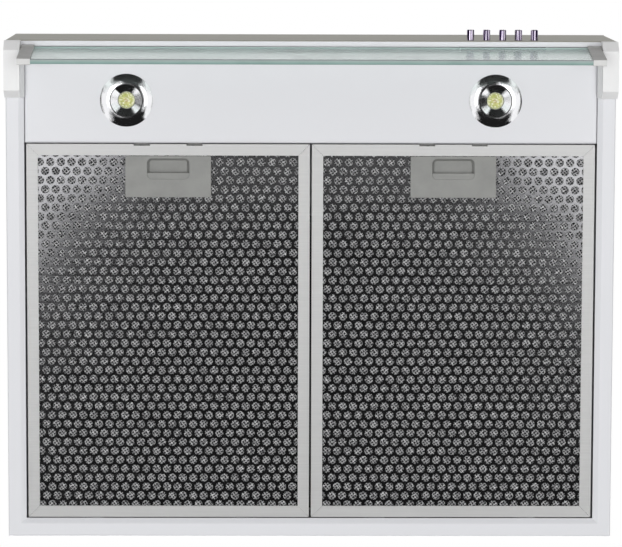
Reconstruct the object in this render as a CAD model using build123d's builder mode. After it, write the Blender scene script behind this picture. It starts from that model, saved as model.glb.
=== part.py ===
from build123d import *
from math import cos, radians, sin, sqrt
import os

# Slim under-cabinet range hood with a tilting glass visor, in millimetres.
# The origin is the centre of the four cabinet screw holes on the top face.
# +X is to the right as the cook sees it, -Y is the front and +Z is up.

# Body
hood_width = 600.0
hood_depth = 494.0
hood_height = 130.0
sheet = 0.8
bend = 1.6
top_flange = 12.0
rim_flat = 12.6
lip_run = 5.2
lip_rise = 3.5
fascia_return = 12.0
fascia_lip = 6.0
seam = 0.2
seat = 0.3

# Screw holes for the cabinet above and the wall behind
cabinet_hole = 6.0
cabinet_spacing_x = 480.0
cabinet_spacing_y = 400.0
wall_hole = 6.4
wall_spacing = 360.0
wall_hole_drop = 40.0

# Light panel and its two spot lamps
visor_channel = 10.5
panel_depth = 85.0
panel_recess = 3.0
panel_flange = 15.0
panel_bend = 2.4
lamp_inset = 118.5
lamp_setback = 59.3
ring_diameter = 52.0
ring_drop = 4.4
ring_edge = 0.8
ring_crown = 3.4
ring_mouth = 32.8
sleeve_diameter = 39.0
sleeve_wall = 1.5
sleeve_height = 9.0
cup_mouth = 32.0
cup_wall = 1.0
cup_depth = 6.0
cup_rim = 2.5
lens_diameter = 17.4
lens_height = 2.4
lens_crown = 0.7
sink_height = 18.0
sink_fins = 12
fin_gap = 2.4
fin_depth = 5.0

# Push buttons and their switch block
button_count = 5
button_diameter = 7.2
button_pitch = 15.7
button_inset = 111.8
button_rise = 10.0
button_reach = 10.5
button_tail = 6.0
button_travel = 3.5
button_round = 0.9
button_play = 0.3
run_fit = 0.05
switch_depth = 14.0
switch_margin = 11.0

# Visor and its corner brackets
visor_tilt = 8.0
visor_drop = 62.0
glass_thickness = 5.0
glass_rise = 2.6
glass_inset = 5.0
glass_play = 0.15
arm_width = 13.0
arm_thickness = 6.4
arm_head = 4.6
arm_overhang = 1.0
pivot_setback = 3.3
pivot_drop = 4.0
pin_diameter = 4.0
pin_in_arm = 6.0
pin_in_bracket = 8.0
bracket_width = 15.5
bracket_length = 56.0
bracket_drop = 24.0
bracket_nose = 9.0
bracket_nose_drop = 13.0
bracket_heel = 7.5
bracket_heel_drop = 12.0
bracket_draft = 3.2
bracket_solid_front = 22.0
bracket_wall = 2.2
bracket_round = 1.2
arm_play = 0.5

# Grease filters
filter_thickness = 10.0
filter_side_gap = 2.0
filter_centre_gap = 2.0
filter_front_gap = 1.0
filter_rear_gap = 1.1
rail_face = 11.2
rail_wall = 0.8
mitre_gap = 0.2
face_sheet = 0.6
back_sheet = 0.6
pack_gap = 0.2
mesh_layers = 3
mesh_wall = 0.4
hole_pitch = 24.0
hole_across = 19.4
hole_margin = 2.5
back_columns = 5
back_rows = 7
back_bar = 9.0
ear_width = 18.0
ear_spacing = 150.0
ear_length = 6.5
ear_wall = 1.0
ear_lift = 0.1

# Filter latch: a sliding handle with a finger pocket and two tongues
handle_width = 84.6
handle_length = 41.0
handle_wall = 1.2
handle_setback = 0.4
handle_play = 0.2
handle_round = 0.5
pocket_width = 42.0
pocket_length = 20.7
pocket_setback = 2.4
pocket_depth = 7.0
pocket_wall = 1.3
pocket_corner = 5.0
pocket_draft = 20.0
pocket_ramp = 6.2
pocket_lip = 0.5
pocket_step = 1.3
tongue_width = 15.0
tongue_wall = 1.6
tongue_spacing = 51.8
tongue_reach = 4.0
tongue_play = 0.4
latch_travel = 6.0
runner_width = 3.0
spring_room = 4.0
spring_wall = 0.4
spring_height = 3.0
spring_span = 48.0
stop_width = 16.0
stop_height = 6.0

# Blower: scroll housing lying flat under the top panel, impeller on a vertical shaft
collar_setback = 82.0
duct_margin = 1.0
scroll_height = 88.0
scroll_wall = 1.5
scroll_clearance = 7.0
scroll_growth = 14.0
scroll_tab = 16.0
inlet_diameter = 116.0
inlet_lip = 5.0
guard_wall = 2.0
guard_rim = 8.0
guard_slot = 7.0
guard_bar = 3.0
impeller_diameter = 150.0
impeller_height = 60.0
impeller_gap = 5.0
blade_count = 30
blade_depth = 13.0
blade_wall = 1.2
blade_sweep = 9.0
blade_bow = 0.7
blade_bow_reach = 8.0
hub_diameter = 18.0
dish_top = 94.0
dish_bottom = 84.0
dish_wall = 1.5
motor_diameter = 72.0
motor_flange = 88.0
motor_flange_wall = 3.0
motor_height = 46.0
boss_diameter = 20.0
boss_height = 4.0
shaft_diameter = 8.0
shaft_in_motor = 22.0
hub_gap = 1.0
hub_height = 12.0
capacitor_diameter = 30.0
capacitor_length = 52.0
capacitor_inset = 75.0
capacitor_setback = 127.0

# Duct collar with two non-return flaps
collar_diameter = 120.0
collar_wall = 1.5
collar_height = 38.0
collar_brim = 15.0
collar_flange_wall = 1.5
ledge_width = 3.0
ledge_wall = 1.2
flap_level = 14.0
flap_wall = 1.2
flap_gap = 1.2
rod_diameter = 3.0
barrel_wall = 1.5
barrel_length = 20.0
barrel_gap = 1.0

# Electrical boxes on the underside of the top panel
box_inset = 95.0
box_setback = 97.0
box_length = 92.0
box_width = 62.0
box_height = 34.0
box_wall = 2.0
lid_wall = 2.0
gland_setback = 32.0
gland_bore = 8.0
gland_thread = 16.0
gland_nut = 24.0
gland_height = 12.0
gland_nut_height = 5.0
driver_length = 86.0
driver_width = 40.0
driver_height = 22.0
driver_setback = 187.0

# Screws
screw_diameter = 3.5
screw_head = 7.0
screw_head_height = 2.2
screw_length = 8.0
screw_play = 0.15
collar_screw_inset = 7.0
motor_screw_inset = 4.0

# Places worked out from the sizes above
front = -hood_depth / 2
rear = hood_depth / 2
side = hood_width / 2
rim_z = -hood_height
roof_z = -sheet
rim_width = rim_flat + lip_run
panel_front = front + fascia_lip + visor_channel
panel_rear = panel_front + panel_depth
panel_half = side - rim_width - seat
panel_z = rim_z + panel_recess
lamp_x = side - lamp_inset
lamp_y = front + lamp_setback
button_group_x = side - button_inset
button_z = rim_z + button_rise
switch_height = 2 * (button_rise - bend - seat)
pivot_y = front + fascia_lip + pivot_setback
pivot_z = rim_z - pivot_drop
bracket_inner = side - bracket_width
arm_outer = bracket_inner - arm_play
arm_inner = arm_outer - arm_width
filter_width = side - rim_width - filter_side_gap - filter_centre_gap / 2
filter_x = (filter_centre_gap + filter_width) / 2
filter_front = panel_rear + filter_front_gap
filter_rear = rear - rim_width - filter_rear_gap
filter_length = filter_rear - filter_front
filter_y = (filter_front + filter_rear) / 2
face_z = panel_z + rail_wall
pack_z = face_z + face_sheet
back_z = panel_z + filter_thickness - rail_wall - back_sheet
lip_length = sqrt(lip_run**2 + lip_rise**2)
lip_crest_y = rear - rim_width + sheet * lip_rise / lip_length
lip_crest_z = rim_z + lip_rise + sheet * lip_run / lip_length
handle_front = filter_front + rail_face + handle_setback
handle_z = face_z - handle_play - handle_wall
pocket_front = handle_front + pocket_setback
cup_front = pocket_front - pocket_wall
cup_rear = pocket_front + pocket_length + pocket_wall
cup_top = handle_z + pocket_depth + pocket_wall
tongue_z = cup_top - tongue_wall
tongue_tip = panel_rear - tongue_reach
carriage_half = (tongue_spacing + tongue_width) / 2
stop_y = cup_rear + latch_travel + spring_room
collar_y = rear - collar_setback
collar_flange = collar_diameter + 2 * collar_brim
duct_width = collar_diameter + 2 * duct_margin
scroll_radius = impeller_diameter / 2 + scroll_clearance
scroll_right = duct_width / 2
fan_x = scroll_right - scroll_radius - 3 * scroll_growth
fan_y = collar_y - duct_width / 2 - scroll_radius
scroll_z = roof_z - scroll_height
impeller_z = scroll_z + scroll_wall + inlet_lip + impeller_gap
impeller_top = impeller_z + impeller_height
motor_z = roof_z - motor_flange_wall - motor_height
hub_top = motor_z - boss_height - hub_gap
hub_z = hub_top - hub_height
screw_hole = screw_diameter / 2 + screw_play
collar_screw_radius = collar_flange / 2 - collar_screw_inset
motor_screw_radius = motor_flange / 2 - motor_screw_inset
capacitor_x = -side + capacitor_inset
capacitor_y = rear - capacitor_setback
box_x = side - box_inset
box_y = rear - box_setback
gland_y = rear - gland_setback
driver_y = rear - driver_setback
hands = (("left", -1), ("right", 1))

os.makedirs("parts", exist_ok=True)


def save(piece, name):
    piece.part.label = name
    export_step(piece.part, f"parts/{name}.step")


def facing(x, y, z, direction):
    return Plane(origin=(x, y, z), x_dir=(1, 0, 0), z_dir=direction)


# A row of pan-head screws: each stands on a plane whose normal is the way the head faces
def screws(planes, name):
    with BuildPart() as group:
        for plane in planes:
            with BuildSketch(plane):
                Circle(screw_head / 2)
            extrude(amount=screw_head_height)
            with BuildSketch(plane):
                Circle(screw_diameter / 2)
            extrude(amount=-screw_length)
    save(group, name)


# Top panel: flat sheet with the duct opening, the cabinet holes and the cable gland's hole
collar_screw_spots = [
    (collar_screw_radius * cos(radians(a)), collar_y + collar_screw_radius * sin(radians(a)))
    for a in (45, 135, 225, 315)
]
motor_screw_spots = [
    (fan_x + motor_screw_radius * cos(radians(a)), fan_y + motor_screw_radius * sin(radians(a)))
    for a in (30, 150, 270)
]
scroll_screw_spots = [
    (fan_x - scroll_radius - scroll_tab / 2, fan_y),
    (fan_x + scroll_growth, fan_y - scroll_radius - scroll_growth - scroll_tab / 2),
    (scroll_right + scroll_tab / 2, fan_y + scroll_radius),
    (-scroll_right - scroll_tab / 2, fan_y + scroll_radius + scroll_tab),
]
with BuildPart() as top_panel:
    with BuildSketch(Plane.XY.offset(roof_z)):
        Rectangle(hood_width, hood_depth)
        with GridLocations(cabinet_spacing_x, cabinet_spacing_y, 2, 2):
            Circle(cabinet_hole / 2, mode=Mode.SUBTRACT)
        with Locations((0, collar_y)):
            Circle(collar_diameter / 2 - collar_wall, mode=Mode.SUBTRACT)
        with Locations((box_x, gland_y)):
            Circle(gland_thread / 2 + screw_play, mode=Mode.SUBTRACT)
        with Locations(*collar_screw_spots, *motor_screw_spots, *scroll_screw_spots):
            Circle(screw_hole, mode=Mode.SUBTRACT)
    extrude(amount=sheet)
save(top_panel, "top_panel")

# Side panels: flange under the roof, wall, flat rim and sloped lip in one folded section
bracket_screw_spots = [
    front + fascia_return + screw_head,
    front + bracket_length - screw_head / 2 - bracket_wall,
]
bracket_screw_x = side - rim_flat / 2
for hand, sign in hands:
    with BuildPart() as side_panel:
        with BuildSketch(Plane.XZ.offset(-rear)):
            with BuildLine():
                FilletPolyline(
                    (sign * (side - top_flange), roof_z),
                    (sign * side, roof_z),
                    (sign * side, rim_z),
                    (sign * (side - rim_flat), rim_z),
                    (sign * (side - rim_width), rim_z + lip_rise),
                    radius=bend,
                )
                offset(amount=sheet, side=Side.RIGHT if sign > 0 else Side.LEFT)
            make_face()
        extrude(amount=hood_depth - fascia_return - seam)
        split(bisect_by=Plane(origin=(sign * side, rear, 0), z_dir=(sign, -1, 0)), keep=Keep.TOP)
        with Locations(*[(sign * bracket_screw_x, y, rim_z) for y in bracket_screw_spots]):
            Cylinder(screw_hole, 4 * sheet, mode=Mode.SUBTRACT)
    save(side_panel, f"{hand}_side_panel")

# Rear panel: the same section along the wall, mitred into the side panels
with BuildPart() as rear_panel:
    with BuildSketch(Plane.YZ):
        with BuildLine():
            FilletPolyline(
                (rear - top_flange, roof_z),
                (rear, roof_z),
                (rear, rim_z),
                (rear - rim_flat, rim_z),
                (rear - rim_width, rim_z + lip_rise),
                radius=bend,
            )
            offset(amount=sheet, side=Side.RIGHT)
        make_face()
    extrude(amount=side, both=True)
    for hand, sign in hands:
        split(bisect_by=Plane(origin=(sign * side, rear, 0), z_dir=(-sign, 1, 0)), keep=Keep.TOP)
    with Locations(facing(0, rear, roof_z - wall_hole_drop, (0, 1, 0))):
        with GridLocations(wall_spacing, 1, 2, 1):
            Hole(wall_hole / 2, depth=2 * sheet)
save(rear_panel, "rear_panel")

# Front fascia: a shallow tray, open at the back, whose bottom is only a narrow lip
with BuildPart() as fascia:
    with BuildSketch(facing(0, front, (rim_z + roof_z) / 2, (0, 1, 0))):
        Rectangle(hood_width, hood_height - sheet)
    extrude(amount=fascia_return)
    fillet(faces().sort_by(Axis.Y)[0].edges(), radius=bend)
    offset(amount=-sheet, openings=faces().sort_by(Axis.Y)[-1])
    with BuildSketch(Plane.XY.offset(rim_z)):
        with Locations((0, front + (fascia_lip + fascia_return) / 2)):
            Rectangle(hood_width - 2 * sheet, fascia_return - fascia_lip)
    extrude(amount=2 * sheet, mode=Mode.SUBTRACT)
    with Locations(facing(button_group_x, front, button_z, (0, -1, 0))):
        with GridLocations(button_pitch, 1, button_count, 1):
            Hole(button_diameter / 2 + button_play, depth=2 * sheet)
save(fascia, "front_fascia")

# Light panel: a folded tray with two lamp holes and four windows for the latch tongues
with BuildPart() as light_panel:
    with BuildSketch(Plane.XY.offset(panel_z)):
        with Locations((0, (panel_front + panel_rear) / 2)):
            Rectangle(2 * panel_half, panel_depth)
    extrude(amount=panel_flange)
    fillet(faces().sort_by(Axis.Z)[0].edges(), radius=panel_bend)
    offset(amount=-sheet, openings=faces().sort_by(Axis.Z)[-1])
    with Locations((0, lamp_y, panel_z)):
        with GridLocations(2 * lamp_x, 1, 2, 1):
            Cylinder(sleeve_diameter / 2 + seat, 4 * sheet, mode=Mode.SUBTRACT)
    with Locations((0, panel_rear, tongue_z + tongue_wall / 2)):
        with GridLocations(2 * filter_x, 1, 2, 1):
            with GridLocations(tongue_spacing, 1, 2, 1):
                Box(
                    tongue_width + 2 * tongue_play,
                    4 * sheet,
                    tongue_wall + 2 * tongue_play,
                    mode=Mode.SUBTRACT,
                )
save(light_panel, "light_panel")

# Spot lamps: domed chrome ring, reflector cup, LED lens and finned heat sink, turned on one axis
ring_radius = ring_diameter / 2
mouth_radius = ring_mouth / 2
sleeve_radius = sleeve_diameter / 2
bore_radius = sleeve_radius - sleeve_wall
cup_outer = bore_radius - seat
cup_floor = -ring_drop + cup_depth
lens_radius = lens_diameter / 2
for hand, sign in hands:
    lamp = Plane(origin=(sign * lamp_x, lamp_y, panel_z), x_dir=(1, 0, 0), z_dir=(0, -1, 0))
    axis = Axis((sign * lamp_x, lamp_y, panel_z), (0, 0, 1))
    with BuildPart() as ring:
        with BuildSketch(lamp):
            with BuildLine():
                base = Polyline((bore_radius, -ring_drop + cup_wall), (bore_radius, sleeve_height),
                                (sleeve_radius, sleeve_height), (sleeve_radius, 0), (ring_radius, 0),
                                (ring_radius, -ring_edge))
                crown = ThreePointArc(
                    base @ 1,
                    ((ring_radius + mouth_radius) / 2, -ring_crown),
                    (mouth_radius, -ring_drop),
                )
                Polyline(crown @ 1, (mouth_radius, -ring_drop + cup_wall), base @ 0)
            make_face()
        revolve(axis=axis)
    save(ring, f"{hand}_lamp_ring")

    with BuildPart() as cup:
        with BuildSketch(lamp):
            with BuildLine():
                Polyline(
                    (cup_mouth / 2, -ring_drop + cup_wall),
                    (cup_outer, -ring_drop + cup_wall),
                    (cup_outer, -ring_drop + cup_rim),
                    (lens_radius + cup_wall, cup_floor + cup_wall),
                    (lens_radius, cup_floor + cup_wall),
                    (lens_radius, cup_floor),
                    close=True,
                )
            make_face()
        revolve(axis=axis)
    save(cup, f"{hand}_lamp_reflector")

    with BuildPart() as lens:
        with BuildSketch(lamp):
            with BuildLine():
                dome = TangentArc((0, cup_floor), (lens_radius - seat, cup_floor + lens_crown), tangent=(1, 0))
                Polyline(
                    dome @ 1,
                    (lens_radius - seat, cup_floor + cup_wall + lens_height),
                    (0, cup_floor + cup_wall + lens_height),
                    dome @ 0,
                )
            make_face()
        revolve(axis=axis)
    save(lens, f"{hand}_lamp_lens")

    with BuildPart() as sink:
        with BuildSketch(Plane((sign * lamp_x, lamp_y, panel_z + cup_floor + cup_wall + lens_height))):
            Circle(cup_outer)
        extrude(amount=sink_height)
        with BuildSketch(faces().sort_by(Axis.Z)[-1]):
            with PolarLocations(cup_outer, sink_fins):
                Rectangle(2 * fin_depth, fin_gap)
        extrude(amount=-sink_height / 2, mode=Mode.SUBTRACT)
    save(sink, f"{hand}_lamp_heat_sink")

# Push buttons: round caps with a domed tip, sliding in the switch block's bores
button_places = [
    button_group_x + (i - (button_count - 1) / 2) * button_pitch for i in range(button_count)
]
block_front = front + sheet
for number, x in enumerate(button_places, 1):
    with BuildPart() as button:
        with BuildSketch(facing(x, front - button_reach, button_z, (0, 1, 0))):
            Circle(button_diameter / 2)
        extrude(amount=button_reach + sheet + button_tail)
        fillet(faces().sort_by(Axis.Y)[0].edges(), radius=button_round)
        chamfer(faces().sort_by(Axis.Y)[-1].edges(), length=button_round / 2)
    save(button, f"button_{number}")

with BuildPart() as switch_block:
    with BuildSketch(facing(button_group_x, block_front, button_z, (0, 1, 0))):
        Rectangle((button_count - 1) * button_pitch + 2 * switch_margin, switch_height)
    extrude(amount=switch_depth)
    fillet(edges().filter_by(Axis.Y), radius=bend)
    with Locations(facing(button_group_x, block_front, button_z, (0, -1, 0))):
        with GridLocations(button_pitch, 1, button_count, 1):
            Hole(button_diameter / 2 + run_fit, depth=button_tail + button_travel + seat)
save(switch_block, "switch_block")

# Visor: glass pane between two grey arms that turn on pins in the corner brackets.
# In its own plane, x runs along the hood, y up the pane and z out of its front.
tilt = radians(visor_tilt)
visor = Plane(origin=(0, pivot_y, pivot_z), x_dir=(1, 0, 0), z_dir=(0, -cos(tilt), -sin(tilt)))
glass_half = arm_inner + glass_inset
with BuildPart() as glass:
    with BuildSketch(visor.offset(-glass_thickness / 2)):
        with Locations((0, (glass_rise - visor_drop) / 2)):
            Rectangle(2 * glass_half, glass_rise + visor_drop)
    extrude(amount=glass_thickness)
save(glass, "visor_glass")

for hand, sign in hands:
    arm_plane = Plane(origin=(sign * arm_inner, pivot_y, pivot_z), x_dir=-visor.z_dir, z_dir=(sign, 0, 0))
    up = arm_plane.to_local_coords(Vector(0, pivot_y, pivot_z) + visor.y_dir).Y
    arm_end = -up * (visor_drop + arm_overhang)
    with BuildPart() as arm:
        with BuildSketch(arm_plane):
            Circle(arm_head)
            with Locations((0, arm_end / 2)):
                Rectangle(arm_thickness, abs(arm_end))
        extrude(amount=arm_width)
        fillet(faces().sort_by(Axis.Z)[0].edges().filter_by(Axis.X), radius=bracket_round)
        with BuildSketch(arm_plane):
            with Locations((0, up * (arm_head - visor_drop - glass_play) / 2)):
                Rectangle(glass_thickness + 2 * glass_play, arm_head + visor_drop + glass_play)
        extrude(amount=glass_inset + glass_play, mode=Mode.SUBTRACT)
        with BuildSketch(arm_plane.offset(arm_width)):
            Circle(pin_diameter / 2)
        extrude(amount=-pin_in_arm, mode=Mode.SUBTRACT)
    save(arm, f"visor_{hand}_arm")

with BuildPart() as pins:
    for hand, sign in hands:
        with BuildSketch(Plane(origin=(sign * (arm_outer - pin_in_arm), pivot_y, pivot_z), z_dir=(sign, 0, 0))):
            Circle(pin_diameter / 2)
        extrude(amount=pin_in_arm + arm_play + pin_in_bracket)
save(pins, "visor_pins")

# Corner brackets: hollow mouldings under the front corners, drafted on their inner side
heel_y = front + bracket_length
bracket_z = rim_z - bracket_drop
for hand, sign in hands:
    with BuildPart() as bracket:
        with BuildSketch(Plane.YZ.offset(sign * side)):
            with BuildLine():
                Polyline(
                    (front + seat, rim_z),
                    (front + seat, rim_z - bracket_nose_drop),
                    (front + bracket_nose, bracket_z),
                    (heel_y - bracket_heel, bracket_z),
                    (heel_y, rim_z - bracket_heel_drop),
                    (heel_y, rim_z),
                    close=True,
                )
            make_face()
        extrude(amount=-sign * bracket_width)
        fillet(edges().filter_by(Axis.X).group_by(Axis.Z)[0], radius=bracket_round)
        with BuildSketch(Plane.XZ.offset(-heel_y)):
            with BuildLine():
                Polyline(
                    (sign * bracket_inner, rim_z),
                    (sign * (bracket_inner - bracket_draft), rim_z),
                    (sign * bracket_inner, rim_z - bracket_heel_drop),
                    close=True,
                )
            make_face()
        extrude(amount=bracket_length - bracket_solid_front)
        with BuildSketch(Plane.XY.offset(rim_z)):
            with Locations((sign * (bracket_inner + bracket_width / 2), (front + bracket_solid_front + heel_y) / 2)):
                Rectangle(
                    bracket_width - 2 * bracket_wall,
                    bracket_length - bracket_solid_front - 2 * (screw_head + bracket_wall),
                )
        extrude(amount=-(bracket_drop - bracket_wall), mode=Mode.SUBTRACT)
        with BuildSketch(Plane(origin=(sign * bracket_inner, pivot_y, pivot_z), z_dir=(sign, 0, 0))):
            Circle(pin_diameter / 2 + run_fit)
        extrude(amount=pin_in_bracket + seat, mode=Mode.SUBTRACT)
        with Locations(*[(sign * bracket_screw_x, y, rim_z) for y in bracket_screw_spots]):
            Cylinder(screw_hole, 2 * screw_length, mode=Mode.SUBTRACT)
    save(bracket, f"{hand}_corner_bracket")
screws(
    [
        facing(sign * bracket_screw_x, y, rim_z + sheet, (0, 0, 1))
        for hand, sign in hands
        for y in bracket_screw_spots
    ],
    "bracket_screws",
)


# One of a filter frame's four rails: the strip between an outer edge and its inset copy
def mitred_strip(edge, inset):
    half_w = filter_width / 2
    half_l = filter_length / 2
    outer = [(-half_w, -half_l), (half_w, -half_l), (half_w, half_l), (-half_w, half_l)]
    inner = [(x - inset * (1 if x > 0 else -1), y - inset * (1 if y > 0 else -1)) for x, y in outer]
    after = (edge + 1) % 4
    along = (Vector(*outer[after]) - Vector(*outer[edge])).normalized() * mitre_gap / sqrt(2)
    start = [Vector(*p) + along for p in (outer[edge], inner[edge])]
    end = [Vector(*p) - along for p in (outer[after], inner[after])]
    return [start[0], end[0], end[1], start[1]]


# Grease filters: channel frame, perforated face, mesh pack, back sheet, rear ears and latch
pack_width = filter_width - 2 * (rail_wall + pack_gap)
pack_length = filter_length - 2 * (rail_wall + pack_gap)
row_pitch = hole_pitch * sqrt(3) / 2
field_width = filter_width - 2 * (rail_face + hole_margin)
field_length = filter_length - 2 * (rail_face + hole_margin)
latch_room = carriage_half + 2 * handle_play + tongue_play
slot_front = cup_front - seat
slot_rear = cup_rear + latch_travel + seat
clear_rear = stop_y + handle_wall


# Staggered rows of holes that fit the field and stay clear of the latch handle
def hole_places():
    rows = int((field_length - hole_across) / row_pitch) + 1
    columns = int((field_width - hole_across) / hole_pitch) + 1
    places = []
    for row in range(rows):
        count = columns - row % 2
        y = (row - (rows - 1) / 2) * row_pitch
        for column in range(count):
            x = (column - (count - 1) / 2) * hole_pitch
            in_latch = y + filter_y - hole_across < handle_front + handle_length + latch_travel
            if not (in_latch and abs(x) < (handle_width + hole_across) / 2):
                places.append((x, y))
    return places


for hand, sign in hands:
    x = sign * filter_x
    with BuildPart() as frame:
        for edge in range(4):
            for z, wall, inset in (
                (panel_z, rail_wall, rail_face),
                (panel_z, filter_thickness, rail_wall),
                (panel_z + filter_thickness - rail_wall, rail_wall, rail_face),
            ):
                with BuildSketch(Plane((x, filter_y, z))):
                    with BuildLine():
                        Polyline(*mitred_strip(edge, inset), close=True)
                    make_face()
                extrude(amount=wall)
        with Locations((x, filter_front, panel_z)):
            with GridLocations(tongue_spacing, 1, 2, 1):
                Box(
                    tongue_width + 2 * tongue_play,
                    4 * rail_wall,
                    2 * (tongue_z + tongue_wall + tongue_play - panel_z),
                    mode=Mode.SUBTRACT,
                )
    save(frame, f"{hand}_filter_frame")

    with BuildPart() as face:
        with BuildSketch(Plane((x, filter_y, face_z))):
            Rectangle(pack_width, pack_length)
            with Locations((0, (slot_front + slot_rear) / 2 - filter_y)):
                Rectangle(pocket_width + 2 * (pocket_wall + seat), slot_rear - slot_front, mode=Mode.SUBTRACT)
            with Locations(*hole_places()):
                RegularPolygon(hole_across / 2, 6, rotation=30, mode=Mode.SUBTRACT)
        extrude(amount=face_sheet)
        with BuildSketch(Plane((x, stop_y + face_sheet / 2, pack_z))):
            Rectangle(stop_width, face_sheet)
        extrude(amount=stop_height)
    save(face, f"{hand}_filter_face")

    with BuildPart() as pack:
        for layer in range(mesh_layers):
            layer_z = pack_z + (layer + 0.5) * (back_z - pack_z) / mesh_layers
            with BuildSketch(Plane((x, filter_y, layer_z - mesh_wall / 2))):
                Rectangle(pack_width, pack_length)
                with Locations((0, (filter_front + clear_rear) / 2 - filter_y)):
                    Rectangle(2 * latch_room, clear_rear - filter_front, mode=Mode.SUBTRACT)
            extrude(amount=mesh_wall)
    save(pack, f"{hand}_filter_mesh")

    window_width = (filter_width - 2 * rail_face - (back_columns + 1) * back_bar) / back_columns
    window_length = (filter_length - 2 * rail_face - (back_rows + 1) * back_bar) / back_rows
    with BuildPart() as back:
        with BuildSketch(Plane((x, filter_y, back_z))):
            Rectangle(pack_width, pack_length)
            with GridLocations(window_width + back_bar, window_length + back_bar, back_columns, back_rows):
                Rectangle(window_width, window_length, mode=Mode.SUBTRACT)
        extrude(amount=back_sheet)
    save(back, f"{hand}_filter_back")

    with BuildPart() as ears:
        with BuildSketch(Plane((x, filter_rear + ear_length / 2, lip_crest_z + ear_lift))):
            with GridLocations(ear_spacing, 1, 2, 1):
                Rectangle(ear_width, ear_length)
        extrude(amount=ear_wall)
    save(ears, f"{hand}_filter_ears")

    with BuildPart() as handle:
        with BuildSketch(Plane((x, handle_front + handle_length / 2, handle_z))):
            RectangleRounded(handle_width, handle_length, handle_wall)
        extrude(amount=handle_wall)
        with BuildSketch(Plane((x, (cup_front + cup_rear) / 2, handle_z))):
            Rectangle(pocket_width + 2 * pocket_wall, cup_rear - cup_front)
        extrude(amount=cup_top - handle_z)
        with BuildSketch(Plane((x, (cup_front + cup_rear) / 2, tongue_z))):
            Rectangle(2 * carriage_half, cup_rear - cup_front)
            with Locations((0, (tongue_tip - cup_rear) / 2)):
                with GridLocations(tongue_spacing, 1, 2, 1):
                    Rectangle(tongue_width, cup_front - tongue_tip)
        extrude(amount=tongue_wall)
        with BuildSketch(Plane((x, (cup_front + cup_rear) / 2, pack_z + handle_play))):
            with GridLocations(2 * carriage_half - runner_width, 1, 2, 1):
                Rectangle(runner_width, cup_rear - cup_front)
        extrude(amount=tongue_z - pack_z - handle_play)
        with BuildSketch(Plane((x, pocket_front + pocket_length / 2, handle_z))):
            RectangleRounded(pocket_width, pocket_length, pocket_corner)
        extrude(amount=pocket_depth, taper=pocket_draft, mode=Mode.SUBTRACT)
        with BuildSketch(Plane.YZ.offset(x - (pocket_width + pocket_wall) / 2)):
            with BuildLine():
                Polyline(
                    (pocket_front + pocket_length, handle_z + pocket_lip),
                    (pocket_front + pocket_length, cup_top - pocket_wall),
                    (pocket_front + pocket_length - pocket_ramp, cup_top - pocket_wall),
                    (pocket_front + pocket_length - pocket_ramp, handle_z + pocket_step),
                    close=True,
                )
            make_face()
        extrude(amount=pocket_width + pocket_wall)
        fillet(faces().sort_by(Axis.Z)[0].outer_wire().edges(), radius=handle_round)
    save(handle, f"{hand}_latch_handle")

    spring_z = tongue_z + tongue_wall - spring_height
    with BuildPart() as spring:
        with BuildSketch(Plane((x, 0, spring_z))):
            with BuildLine():
                ThreePointArc((-spring_span / 2, cup_rear), (0, stop_y - spring_wall), (spring_span / 2, cup_rear))
                offset(amount=spring_wall, side=Side.LEFT)
            make_face()
        extrude(amount=spring_height)
    save(spring, f"{hand}_latch_spring")


# The scroll's outline seen from above, counter-clockwise from the tongue beside the duct
def scroll_outline():
    tongue = (-scroll_right, fan_y + scroll_radius)
    with BuildLine() as outline:
        start = Line(tongue, (fan_x, fan_y + scroll_radius))
        west = TangentArc(start @ 1, (fan_x - scroll_radius, fan_y), tangent=(-1, 0))
        south = TangentArc(
            west @ 1,
            (fan_x + scroll_growth, fan_y - scroll_radius - scroll_growth),
            tangent=west % 1,
        )
        east = TangentArc(south @ 1, (scroll_right, fan_y + scroll_growth), tangent=south % 1)
        Polyline(
            east @ 1,
            (scroll_right, collar_y + duct_width / 2),
            (-scroll_right, collar_y + duct_width / 2),
            tongue,
        )
    return outline


outline = scroll_outline()
with BuildPart() as scroll:
    with BuildSketch(Plane.XY.offset(scroll_z)):
        make_face(outline.edges())
    extrude(amount=scroll_height)
    with BuildSketch(Plane.XY.offset(roof_z - scroll_wall)):
        with Locations(*scroll_screw_spots):
            Rectangle(scroll_tab + 4 * scroll_wall, scroll_tab + 4 * scroll_wall)
    extrude(amount=scroll_wall)
    with BuildSketch(Plane.XY.offset(scroll_z + scroll_wall)):
        make_face(outline.edges())
        offset(amount=-scroll_wall, mode=Mode.REPLACE)
    extrude(amount=scroll_height, mode=Mode.SUBTRACT)
    with BuildSketch(Plane((fan_x, fan_y, scroll_z))):
        Circle(inlet_diameter / 2 + scroll_wall)
    extrude(amount=scroll_wall + inlet_lip)
    with BuildSketch(Plane((fan_x, fan_y, scroll_z))):
        Circle(inlet_diameter / 2)
    extrude(amount=scroll_wall + inlet_lip, mode=Mode.SUBTRACT)
    with Locations(*[(px, py, roof_z) for px, py in scroll_screw_spots]):
        Cylinder(screw_hole, 4 * scroll_wall, mode=Mode.SUBTRACT)
save(scroll, "blower_scroll")

# Inlet guard: round plate under the scroll with straight slots
guard_radius = inlet_diameter / 2 + guard_rim
slot_step = guard_slot + guard_bar
slot_count = int(inlet_diameter / slot_step)
with BuildPart() as guard:
    with BuildSketch(Plane((fan_x, fan_y, scroll_z - guard_wall))):
        Circle(guard_radius)
        for i in range(slot_count):
            offset_y = (i - (slot_count - 1) / 2) * slot_step
            reach = sqrt((inlet_diameter / 2) ** 2 - (abs(offset_y) + guard_slot / 2) ** 2)
            for half in (-1, 1):
                with Locations((half * (reach + guard_bar) / 2, offset_y)):
                    Rectangle(reach - guard_bar, guard_slot, mode=Mode.SUBTRACT)
    extrude(amount=guard_wall)
save(guard, "inlet_guard")

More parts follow.
